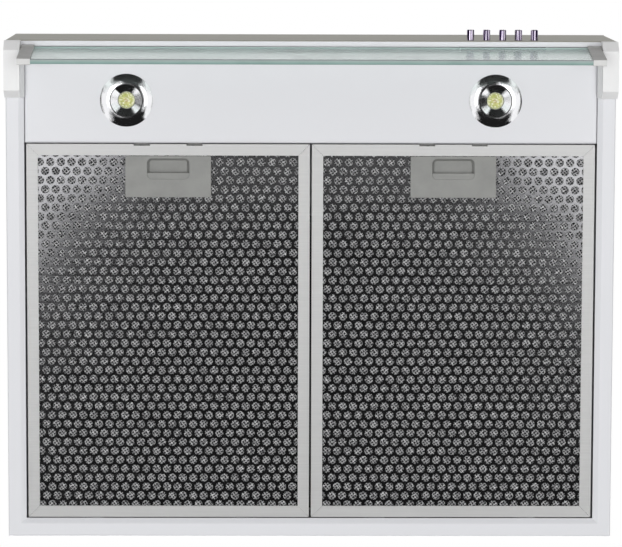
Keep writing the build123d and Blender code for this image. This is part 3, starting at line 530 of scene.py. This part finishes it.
def lensFinish(hand, sign):
    centre = (-sign * lampSpots["inset"], -lampSpots["setback"], 0.0)
    made, tree, shader, vector = startMaterial(hand + "LedPhosphor", lensLook["plain"], centre=centre)
    flat = addNode(tree, "VectorMath", {0: vector, 1: (1.0, 1.0, 0.0)}, operation="MULTIPLY")
    radius = addNode(tree, "VectorMath", {0: flat.outputs[0]}, operation="LENGTH").outputs["Value"]
    outward = spreadOut(tree, radius, 0.0, lensLook["reach"])
    bands = colourRamp(tree, outward, lensLook["dot"], lensLook["steps"], lensLook["rim"])
    patches = addPatches(tree, vector, lensLook["patches"])
    cells = addNode(tree, "TexVoronoi", {"Vector": vector, "Scale": lensLook["facets"]})
    pick = addNode(tree, "SeparateColor", {0: cells.outputs["Color"]})
    glint = spreadOut(tree, pick.outputs[0], lensLook["glintFrom"], lensLook["glintFull"])
    toned = blend(tree, lensLook["patchShare"], bands, patches["Color"], "MULTIPLY")
    feed(tree, shader, blend(tree, glint, toned, rgb(*lensLook["glint"])), patches["Roughness"])
    return made


print("finishes made")


# every CAD piece gets its finish

def bothHands(*names):
    return [f"{hand}_{name}" for name in names for hand, sign in hands]


cadFinishes = [
    (whiteEnamel, ["top_panel", "rear_panel", "light_panel"] + bothHands("side_panel")),
    (fasciaPaintedShade, ["front_fascia"]),
    (bracketPlastic, bothHands("corner_bracket")),
    (armPaintedShade, ["visor_left_arm", "visor_right_arm"]),
    (visorGlass, ["visor_glass"]),
    (buttonPaintedReflections, [f"button_{number}" for number in range(1, 6)]),
    (castAluminium, bothHands("lamp_heat_sink")),
    (frameAluminium, bothHands("filter_frame")),
    (backAluminium, bothHands("filter_back")),
    (sheetAluminium, bothHands("filter_face")),
    (meshPaintedGlints, bothHands("filter_mesh")),
    (latchPlastic, bothHands("latch_handle")),
    (springSteel, ["visor_pins", "flap_rod", "motor_shaft"] + bothHands("latch_spring", "filter_ears")),
    (blackPlastic, ["blower_scroll", "inlet_guard", "switch_block", "duct_collar", "front_flap", "rear_flap",
                    "cable_gland"]),
    (impellerPlastic, ["impeller"]),
    (galvanised, ["motor"]),
    (capacitorSkin, ["capacitor"]),
    (boxPlastic, ["terminal_box", "terminal_box_lid", "led_driver"]),
    (zincPlate, ["bracket_screws", "motor_screws", "scroll_screws", "collar_screws"]),
]
for hand, sign in hands:
    cadFinishes.append((turnedFinish(hand, sign), [hand + "_lamp_ring", hand + "_lamp_reflector"]))
for finish, names in cadFinishes:
    for name in names:
        if not nodes[name].material_slots:
            nodes[name].data.materials.append(finish)
        nodes[name].material_slots[0].material = finish
print("CAD pieces finished")

# perforated filter faces: one six-sided tile with a round hole, repeated in staggered rows
perforation = dict(pitch=0.0104, hole=0.0042, sides=12, wall=0.0006, level=-0.1262, lead=(3, 2), columns=29,
                   rowPairs=22, firstHole=dict(left=(-0.2566, -0.1267), right=(-0.2541, -0.1267)))
filterPlan = dict(middle=0.1406, halfWidth=0.1386, front=-0.1435, rear=0.2271)
latchSlot = dict(halfWidth=0.0226, front=-0.1321, rear=-0.1022, stopHalf=0.008, stopPlace=-0.0985,
                 stopHeight=0.006, stopRound=0.0002)
filterLow = (-filterPlan["middle"] - filterPlan["halfWidth"], filterPlan["front"])
filterHigh = (-filterPlan["middle"] + filterPlan["halfWidth"], filterPlan["rear"])
filterCentre = (-filterPlan["middle"], (filterPlan["front"] + filterPlan["rear"]) / 2)


def perforatedSheet(hand):  # made at the left filter's place
    pitch, hole, wall = perforation["pitch"], perforation["hole"], perforation["wall"]
    bpy.ops.object.select_all(action="DESELECT")
    bpy.ops.mesh.primitive_circle_add(vertices=perforation["sides"], radius=hole, fill_type="NOTHING")
    sheet = bpy.context.active_object
    openWhole(sheet, "EDGE")
    bpy.ops.mesh.extrude_edges_move()
    grow = pitch / 2 / hole
    bpy.ops.transform.resize(value=(grow, grow, 1), center_override=(0, 0, 0))
    bpy.ops.mesh.select_mode(type="VERT")

    def atCorner(vertex):  # on the tile's rim, between two of its six flats
        turn = atan2(vertex.co.y, vertex.co.x)
        return vertex.co.length > (hole + pitch / 2) / 2 and abs(sin(3 * turn)) > 0.5

    choose(sheet, "VERT", atCorner)
    corner = 1 / cos(pi / 6)
    bpy.ops.transform.resize(value=(corner, corner, 1), center_override=(0, 0, 0))
    closeEdit()
    row = pitch * sqrt(3) / 2
    repeat(sheet, 2, (pitch / 2, row, 0))
    repeat(sheet, perforation["columns"], (pitch, 0, 0))
    repeat(sheet, perforation["rowPairs"], (0, 2 * row, 0))
    first, lead = perforation["firstHole"][hand], perforation["lead"]
    sheet.location = (first[0] - lead[0] * pitch, first[1] - lead[1] * row, perforation["level"])
    settle(sheet)
    trimTo(sheet, filterLow, filterHigh)
    openWindow(sheet, (-filterPlan["middle"] - latchSlot["halfWidth"], latchSlot["front"]),
               (-filterPlan["middle"] + latchSlot["halfWidth"], latchSlot["rear"]))
    openWhole(sheet, "FACE")
    bpy.ops.mesh.remove_doubles(threshold=weldReach)
    faceOutwards()
    closeEdit()
    facing = sum((face.normal.z for face in sheet.data.polygons), 0.0)
    useModifier(sheet, "SOLIDIFY", thickness=wall, offset=-1.0 if facing < 0 else 1.0, use_even_offset=True)
    bpy.ops.mesh.primitive_cube_add(size=1, location=(
        -filterPlan["middle"], latchSlot["stopPlace"] + wall / 2,
        perforation["level"] + wall + latchSlot["stopHeight"] / 2))
    stop = bpy.context.active_object
    stop.scale = (2 * latchSlot["stopHalf"], wall, latchSlot["stopHeight"])
    settle(stop)
    useModifier(stop, "BEVEL", width=latchSlot["stopRound"], segments=1)
    return joined([sheet, stop])


for hand, sign in hands:
    sheet = perforatedSheet(hand)
    if sign > 0:
        sheet.location.x = 2 * filterPlan["middle"]
        settle(sheet)
    finishPiece(sheet, hand + "_perforated_sheet", hand + "_filter", sheetAluminium,
                [hand + "_filter_face"])
    print(hand, "perforated sheet made,", len(sheet.data.polygons), "faces")

# expanded mesh behind them: diamond openings in ridged strands, crimped, a fine layer in front and a coarse
# one behind, and between them a crimped near-black sheet, painted shade standing in for the dark inside of
# the pack
meshLayers = dict(
    front=dict(half=0.0018, opening=0.67, ridge=0.0004, level=-0.1240, ripple=0.0010, turn=radians(8)),
    back=dict(half=0.0036, opening=0.7, ridge=-0.0005, level=-0.1197, ripple=0.0006, turn=0.0),
)
meshPlan = dict(rippleSize=0.006, wander=0.0022, wanderSize=0.0032, margin=0.0045, spare=3)
shadeSheetPlan = dict(level=-0.1217, step=0.007, ripple=0.0005, wall=0.0003)
latchRoom = dict(halfWidth=0.0342, rear=-0.0973)  # the pack stays clear of the latch


def fitToFilter(layer):
    margin = meshPlan["margin"]
    trimTo(layer, (filterLow[0] + margin, filterLow[1] + margin),
           (filterHigh[0] - margin, filterHigh[1] - margin))
    openWindow(layer, (-filterPlan["middle"] - latchRoom["halfWidth"], filterPlan["front"]),
               (-filterPlan["middle"] + latchRoom["halfWidth"], latchRoom["rear"]))


def stray(layer, name, size, **settings):  # points pushed about by a cloud pattern
    clouds = bpy.data.textures.new(name, "CLOUDS")
    clouds.noise_scale = size
    clouds.cloud_type = "COLOR" if settings["direction"] == "RGB_TO_XYZ" else "GRAYSCALE"
    useModifier(layer, "DISPLACE", texture=clouds, texture_coords="LOCAL", mid_level=0.5, **settings)


def crimp(layer, ripple):
    stray(layer, "meshRipples", meshPlan["rippleSize"], direction="Z", strength=ripple)


def meshSheet(plan):
    half = plan["half"]
    bpy.ops.object.select_all(action="DESELECT")
    bpy.ops.mesh.primitive_circle_add(vertices=4, radius=half, fill_type="NOTHING")
    layer = bpy.context.active_object
    openWhole(layer, "EDGE")
    bpy.ops.mesh.extrude_edges_move()
    bpy.ops.transform.resize(value=(plan["opening"],) * 3, center_override=(0, 0, 0))
    bpy.ops.transform.translate(value=(0, 0, plan["ridge"]))
    closeEdit()
    reach = sqrt(4 * filterPlan["halfWidth"] ** 2 + (filterPlan["rear"] - filterPlan["front"]) ** 2)
    count = int(reach / half / 2) + meshPlan["spare"]
    repeat(layer, 2, (half, half, 0))
    repeat(layer, count, (2 * half, 0, 0))
    repeat(layer, count, (0, 2 * half, 0))
    layer.location = (-reach / 2, -reach / 2, 0)
    settle(layer)
    layer.rotation_euler.z = plan["turn"]
    layer.location = (*filterCentre, plan["level"])
    settle(layer)
    stray(layer, "meshDrift", meshPlan["wanderSize"], direction="RGB_TO_XYZ", strength=meshPlan["wander"])
    fitToFilter(layer)
    crimp(layer, plan["ripple"])
    return layer


# a near-black sheet of painted shade inside the filter pack
def shadeSheet():
    width, length = 2 * filterPlan["halfWidth"], filterPlan["rear"] - filterPlan["front"]
    bpy.ops.object.select_all(action="DESELECT")
    bpy.ops.mesh.primitive_grid_add(x_subdivisions=int(width / shadeSheetPlan["step"]),
                                    y_subdivisions=int(length / shadeSheetPlan["step"]), size=1)
    shadeCore = bpy.context.active_object
    shadeCore.scale = (width, length, 1)
    shadeCore.location = (*filterCentre, shadeSheetPlan["level"])
    settle(shadeCore)
    fitToFilter(shadeCore)
    crimp(shadeCore, shadeSheetPlan["ripple"])
    useModifier(shadeCore, "SOLIDIFY", thickness=shadeSheetPlan["wall"], offset=0.0)
    return shadeCore


leftLayers = [meshSheet(plan) for plan in meshLayers.values()] + [shadeSheet()]
for hand, sign in hands:
    shift = (2 * filterPlan["middle"], 0, 0)
    layers = leftLayers if sign < 0 else [copyOf(layer, shift) for layer in leftLayers]
    for layer, word in zip(layers, ("front_mesh", "back_mesh", "shade_sheet")):
        finishPiece(layer, f"{hand}_{word}", hand + "_filter",
                    meshShade if word == "shade_sheet" else meshPaintedGlints,
                    [hand + "_filter_mesh"] if word == "front_mesh" else ())
print("mesh layers made,", [len(layer.data.polygons) for layer in leftLayers], "faces")

# glass pane of the visor, its edges ground and their corners taken off
paneSize = dict(halfWidth=0.276, rise=0.0026, drop=0.062, thick=0.005, arris=0.0007, arrisSteps=2,
                flatFrom=0.99)
paneMiddle = (paneSize["drop"] - paneSize["rise"]) / 2
bpy.ops.object.select_all(action="DESELECT")
bpy.ops.mesh.primitive_cube_add(size=1)
pane = bpy.context.active_object
pane.scale = (2 * paneSize["halfWidth"], paneSize["thick"], paneSize["rise"] + paneSize["drop"])
settle(pane)
openWhole(pane, "EDGE")
bpy.ops.mesh.bevel(offset=paneSize["arris"], segments=paneSize["arrisSteps"], affect="EDGES")
closeEdit()
pane.rotation_euler = (visorPlan["tilt"], 0, 0)
pane.location = Vector(visorPlan["pivot"]) + paneMiddle * Vector(visorDown)
settle(pane)
finishPiece(pane, "visor_pane", "visor", visorGlass, ["visor_glass"])
pane.visible_shadow = False
pane.data.materials.append(glassEdgePaintedLight)
for face in pane.data.polygons:  # everything but the two large faces is ground
    flat = abs(face.normal.dot(Vector(visorRearward))) > paneSize["flatFrom"]
    face.material_index = 0 if flat else 1
print("visor pane made")

# faceted LED lenses: a sixteen-sided dome in steps whose facets are raised to points
lensSize = dict(radius=0.0083, sides=16, face=-0.1247, crown=0.0010, crownEase=1.6, back=-0.1220,
                rings=(0.0024, 0.0024, 0.0018), facet=0.0005, facetTilt=0.2)


def facetedLens(x):
    bpy.ops.object.select_all(action="DESELECT")
    bpy.ops.mesh.primitive_circle_add(vertices=lensSize["sides"], radius=lensSize["radius"], fill_type="NGON",
                                      location=(x, lampSpots["setback"], lensSize["back"]))
    lens = bpy.context.active_object
    settle(lens)
    openWhole(lens, "FACE")
    height = lensSize["face"] - lensSize["back"]
    bpy.ops.mesh.extrude_region_move(TRANSFORM_OT_translate={"value": (0, 0, height)})
    for ring, width in enumerate(lensSize["rings"]):
        bpy.ops.mesh.inset(thickness=width, depth=0.0)
        bpy.ops.transform.translate(value=(0, 0, -lensSize["crown"] / (ring + lensSize["crownEase"])))
    faceOutwards()
    choose(lens, "FACE", lambda f: f.normal.z < -lensSize["facetTilt"] and len(f.verts) == 4)
    bpy.ops.mesh.poke(offset=lensSize["facet"])
    closeEdit()
    return lens


for hand, sign in hands:
    finishPiece(facetedLens(sign * lampSpots["inset"]), hand + "_led_lens", "hood",
                lensFinish(hand, sign), [hand + "_lamp_lens"])
print("LED lenses made")

# black gaskets in the step between each chrome ring and its reflector
gasketSize = dict(outer=0.0164, inner=0.0155, seat=-0.1304, thick=0.0007, round=0.0002, roundSteps=2,
                  sides=64, smoothed=radians(40))


def lampGasket(x):
    centre = (x, lampSpots["setback"], gasketSize["seat"])
    bpy.ops.object.select_all(action="DESELECT")
    bpy.ops.mesh.primitive_circle_add(vertices=gasketSize["sides"], radius=gasketSize["outer"],
                                      fill_type="NOTHING", location=centre)
    gasket = bpy.context.active_object
    settle(gasket)
    openWhole(gasket, "EDGE")
    bpy.ops.mesh.extrude_edges_move()
    shrink = gasketSize["inner"] / gasketSize["outer"]
    bpy.ops.transform.resize(value=(shrink, shrink, 1), center_override=centre)
    bpy.ops.mesh.select_all(action="SELECT")
    bpy.ops.mesh.extrude_region_move(TRANSFORM_OT_translate={"value": (0, 0, -gasketSize["thick"])})
    faceOutwards()
    closeEdit()
    useModifier(gasket, "BEVEL", width=gasketSize["round"], segments=gasketSize["roundSteps"],
                limit_method="ANGLE")
    bpy.ops.object.shade_smooth_by_angle(angle=gasketSize["smoothed"])
    return gasket


for hand, sign in hands:
    finishPiece(lampGasket(sign * lampSpots["inset"]), hand + "_lamp_gasket", "hood",
                blackPlastic)
print("lamp gaskets made")

# bow springs behind the latches: a strip bent in an arc from its seat to its stop
springPlan = dict(span=0.048, seat=-0.1085, stop=-0.0985, wall=0.0004, height=0.003, level=-0.1208, steps=24,
                  give=0.006, weld=0.00001, smoothed=radians(30))


def bowSpring(x):
    span, wall = springPlan["span"], springPlan["wall"]
    rise = springPlan["stop"] - wall - springPlan["seat"]
    radius = (span ** 2 / 4 + rise ** 2) / 2 / rise
    sweep = 2 * asin(span / 2 / radius)
    centre = (x, springPlan["seat"] + rise - radius, springPlan["level"])
    bpy.ops.object.select_all(action="DESELECT")
    bpy.ops.mesh.primitive_plane_add(size=springPlan["height"], rotation=(pi / 2, 0, 0),
                                     location=(x - span / 2, springPlan["seat"], springPlan["level"]))
    spring = bpy.context.active_object
    settle(spring)
    openEdit(spring, "VERT")
    choose(spring, "VERT", lambda v: v.co.x > x - span / 2)
    bpy.ops.mesh.delete(type="VERT")
    bpy.ops.mesh.select_all(action="SELECT")
    bpy.ops.transform.translate(value=(springPlan["height"] / 2, 0, 0))
    bpy.ops.mesh.spin(steps=springPlan["steps"], angle=sweep, center=centre, axis=(0, 0, -1))
    bpy.ops.mesh.select_all(action="SELECT")
    bpy.ops.mesh.remove_doubles(threshold=springPlan["weld"])
    faceOutwards()
    closeEdit()
    outward = sum(face.normal.dot(face.center - Vector(centre)) for face in spring.data.polygons) > 0
    useModifier(spring, "SOLIDIFY", thickness=wall, offset=1.0 if outward else -1.0)
    useModifier(spring, "BEVEL", width=wall / 6, segments=1, limit_method="ANGLE")
    bpy.ops.object.shade_smooth_by_angle(angle=springPlan["smoothed"])
    return spring


for hand, sign in hands:
    spring = bowSpring(sign * filterPlan["middle"])
    finishPiece(spring, hand + "_bow_spring", hand + "_filter", springSteel,
                [hand + "_latch_spring"])
    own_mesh(spring)
print("bow springs made")


# pan-head screws with a cross recess, one modelled and the rest copied

def onCircle(centre, radius, turns):
    x, y, z = centre
    return [(x + radius * cos(radians(turn)), y + radius * sin(radians(turn)), z) for turn in turns]


screwSize = dict(head=0.0035, height=0.0022, shank=0.00175, length=0.008, round=0.0009, roundSteps=3,
                 sides=24, slot=0.0009, reach=0.0021, depth=0.0011, smoothed=radians(30))
screwPlaces = {
    "motor_screws": onCircle((-0.063, 0.022, 0.0), 0.040, (30, 150, 270)),
    "scroll_screws": [(-0.153, 0.022, 0.0), (-0.049, -0.082, 0.0), (0.069, 0.104, 0.0), (-0.069, 0.120, 0.0)],
    "collar_screws": onCircle((0.0, 0.165, 0.0015), 0.068, (45, 135, 225, 315)),
    "bracket_screws": [(x, y, -0.1292) for x in (-0.2937, 0.2937) for y in (-0.228, -0.1967)],
}


def panHeadScrew():
    bpy.ops.object.select_all(action="DESELECT")
    bpy.ops.mesh.primitive_cylinder_add(vertices=screwSize["sides"], radius=screwSize["shank"],
                                        depth=screwSize["length"], location=(0, 0, -screwSize["length"] / 2))
    screw = bpy.context.active_object
    settle(screw)
    openEdit(screw, "FACE")
    choose(screw, "FACE", lambda f: f.normal.z > 0.9)
    wide = screwSize["head"] / screwSize["shank"]
    bpy.ops.mesh.extrude_region_move(TRANSFORM_OT_translate={"value": (0, 0, 0)})
    bpy.ops.transform.resize(value=(wide, wide, 1), center_override=(0, 0, 0))
    bpy.ops.mesh.extrude_region_move(TRANSFORM_OT_translate={"value": (0, 0, screwSize["height"])})
    bpy.ops.mesh.bevel(offset=screwSize["round"], segments=screwSize["roundSteps"], affect="EDGES")
    closeEdit()
    for turn in (0, pi / 2):
        bpy.ops.object.select_all(action="DESELECT")
        bpy.ops.mesh.primitive_cube_add(size=1, location=(0, 0, screwSize["height"]), rotation=(0, 0, turn))
        cutter = bpy.context.active_object
        cutter.scale = (2 * screwSize["reach"], screwSize["slot"], 2 * screwSize["depth"])
        settle(cutter)
        useModifier(screw, "BOOLEAN", operation="DIFFERENCE", object=cutter, solver="EXACT")
        bpy.data.objects.remove(cutter)
    activate(screw)
    bpy.ops.object.shade_smooth_by_angle(angle=screwSize["smoothed"])
    return screw


modelScrew = panHeadScrew()
for name, places in screwPlaces.items():
    group = joined([copyOf(modelScrew, place) for place in places])
    finishPiece(group, name.replace("screws", "pan_screws"), "hood", zincPlate, [name])
bpy.data.objects.remove(modelScrew)
print("screws made")

# stage: pale floor far below, white surroundings, and cards all round that only metal and glass mirror
floorPlan = dict(level=-7.0, size=30.0, look={"Base Color": rgb(0.82, 0.82, 0.82), "Roughness": 0.9})
cardPlans = (  # rows of half width, y and z, folded from one end to the other; through: seen through glass
    dict(name="dark_card", tone=0.012, through=True, middle=0.05, rows=(
        (3.0, -4.0, -0.5), (3.0, -4.0, -2.0), (4.0, -4.0, -4.2), (1.0, -1.3, -4.2), (0.43, -0.25, -4.2),
        (0.43, 0.25, -4.2), (0.58, 0.31, -4.2), (0.62, 0.45, -4.2), (0.95, 0.65, -4.2))),
    dict(name="rear_card", tone=0.012, through=False, middle=0.05, rows=(
        (0.95, 0.65, -4.2), (2.4, 1.5, -4.2), (4.0, 4.8, -4.2), (4.0, 4.8, 0.7))),
    dict(name="front_card", tone=0.012, through=False, middle=0.0,
         rows=((4.0, -4.0, 0.7), (4.0, -4.0, -0.5))),
    dict(name="grey_card", tone=0.11, through=True, middle=0.05,
         rows=((0.40, 0.13, -4.15), (0.40, 0.28, -4.15))),
    dict(name="left_glow", tone=2.6, through=False, middle=-1.5,
         rows=((0.7, -1.25, -4.1), (0.7, 0.15, -4.1))),
    dict(name="right_glow", tone=2.6, through=False, middle=1.6,
         rows=((0.7, -1.25, -4.1), (0.7, 0.15, -4.1))),
    dict(name="upper_card", tone=0.8, through=False, middle=0.0,
         rows=((2.5, -0.3, 3.0), (2.5, -3.6, 3.0))),
)
sideCards = dict(reach=3.0, front=-4.0, rear=1.5, low=-1.3, high=1.0, tone=0.02)
lampPlan = (
    dict(name="softboxLeft", place=(-0.97, -0.22, -3.7), size=(1.1, 0.95), power=14.0, shine=False),
    dict(name="softboxRight", place=(0.97, -0.22, -3.7), size=(1.1, 0.95), power=14.0, shine=False),
    dict(name="softboxBelow", place=(0.0, 0.3, -4.0), size=(2.6, 2.6), power=60.0, shine=False),
    dict(name="softboxAbove", place=(0.3, 1.2, 3.2), size=(2.0, 2.0), power=55.0, shine=True),
)
lightLevel = dict(ambient=0.42, aim=(0, 0, -0.1))


def seenDirectly(tree):  # 1 for camera, glossy and transmission rays
    ray = addNode(tree, "LightPath").outputs
    first = addNode(tree, "Math", {0: ray["Is Camera Ray"], 1: ray["Is Glossy Ray"]}, operation="MAXIMUM")
    return addNode(tree, "Math", {0: first.outputs[0], 1: ray["Is Transmission Ray"]},
                   operation="MAXIMUM").outputs[0]


def paleFloor():
    bpy.ops.object.select_all(action="DESELECT")
    bpy.ops.mesh.primitive_plane_add(size=floorPlan["size"], location=(0, 0, floorPlan["level"]))
    floor = bpy.context.active_object
    floor.name = "pale_floor"
    settle(floor)
    made, tree, shader = plainMaterial("paleFloor", floorPlan["look"])
    bright = addNode(tree, "Emission", {"Color": rgb(1, 1, 1), "Strength": 1.0})
    mixed = addNode(tree, "MixShader", {0: seenDirectly(tree), 1: shader.outputs[0], 2: bright.outputs[0]})
    tree.links.new(mixed.outputs[0], tree.nodes["Material Output"].inputs["Surface"])
    floor.data.materials.append(made)
    return floor


def cardFinish(card, tone, through):
    card.data.materials.append(plainMaterial(card.name, {
        "Base Color": rgb(0, 0, 0), "Specular IOR Level": 0.0, "Emission Color": rgb(1, 1, 1),
        "Emission Strength": tone})[0])
    card.visible_transmission = through
    for rays in ("visible_camera", "visible_diffuse", "visible_shadow"):
        setattr(card, rays, False)
    return card


def foldedCard(plan):
    bpy.ops.object.select_all(action="DESELECT")
    bpy.ops.mesh.primitive_grid_add(x_subdivisions=1, y_subdivisions=len(plan["rows"]) - 1, size=2)
    card = bpy.context.active_object
    card.name = plan["name"]
    for number, corner in enumerate(card.data.vertices):
        half, y, z = plan["rows"][number // 2]
        corner.co = (plan["middle"] + (half if number % 2 else -half), y, z)
    return cardFinish(card, plan["tone"], plan["through"])


def sideCard(hand, sign):
    bpy.ops.object.select_all(action="DESELECT")
    bpy.ops.mesh.primitive_plane_add(size=1, rotation=(0, pi / 2, 0), location=(
        sign * sideCards["reach"], (sideCards["front"] + sideCards["rear"]) / 2,
        (sideCards["low"] + sideCards["high"]) / 2))
    card = bpy.context.active_object
    card.name = hand + "_card"
    card.scale = (sideCards["high"] - sideCards["low"], sideCards["rear"] - sideCards["front"], 1)
    settle(card)
    return cardFinish(card, sideCards["tone"], False)


floor = paleFloor()
[foldedCard(plan) for plan in cardPlans]
[sideCard(hand, sign) for hand, sign in hands]

surround = bpy.context.scene.world or bpy.data.worlds.new("surround")
bpy.context.scene.world = surround
surround.use_nodes = True
surroundTree = surround.node_tree
level = addNode(surroundTree, "MapRange", {"Value": seenDirectly(surroundTree),
                                           "To Min": lightLevel["ambient"], "To Max": 1.0})
surroundTree.nodes["Background"].inputs["Color"].default_value = rgb(1, 1, 1)
surroundTree.links.new(level.outputs["Result"], surroundTree.nodes["Background"].inputs["Strength"])

for plan in lampPlan:
    lamp = bpy.data.lights.new(plan["name"], "AREA")
    lamp.shape = "RECTANGLE"
    lamp.size, lamp.size_y = plan["size"]
    lamp.energy = plan["power"]
    box = bpy.data.objects.new(plan["name"], lamp)
    box.location = plan["place"]
    aim = Vector(lightLevel["aim"]) - Vector(plan["place"])
    box.rotation_euler = aim.to_track_quat("-Z", "Y").to_euler()
    box.visible_camera = False
    box.visible_glossy = plan["shine"]
    bpy.context.scene.collection.objects.link(box)
print("stage and lights made")

# camera: from below and a little in front, looking up, the hood's front at the top of the picture
viewPoint = dict(place=(-0.0398, -0.4010, -3.400), tilt=173.30, turn=-0.7, roll=0.097, lens=192.79,
                 sensor=36.0)
eye = bpy.data.cameras.new("viewCamera")
eye.lens = viewPoint["lens"]
eye.sensor_width = viewPoint["sensor"]
camera = bpy.data.objects.new("viewCamera", eye)
camera.location = viewPoint["place"]
camera.rotation_euler = (radians(viewPoint["tilt"]), 0, 0)
camera.rotation_euler.rotate_axis("Y", radians(viewPoint["turn"]))
camera.rotation_euler.rotate_axis("Z", radians(viewPoint["roll"]))
bpy.context.scene.collection.objects.link(camera)
bpy.context.scene.camera = camera
bpy.context.scene.view_settings.view_transform = "Standard"
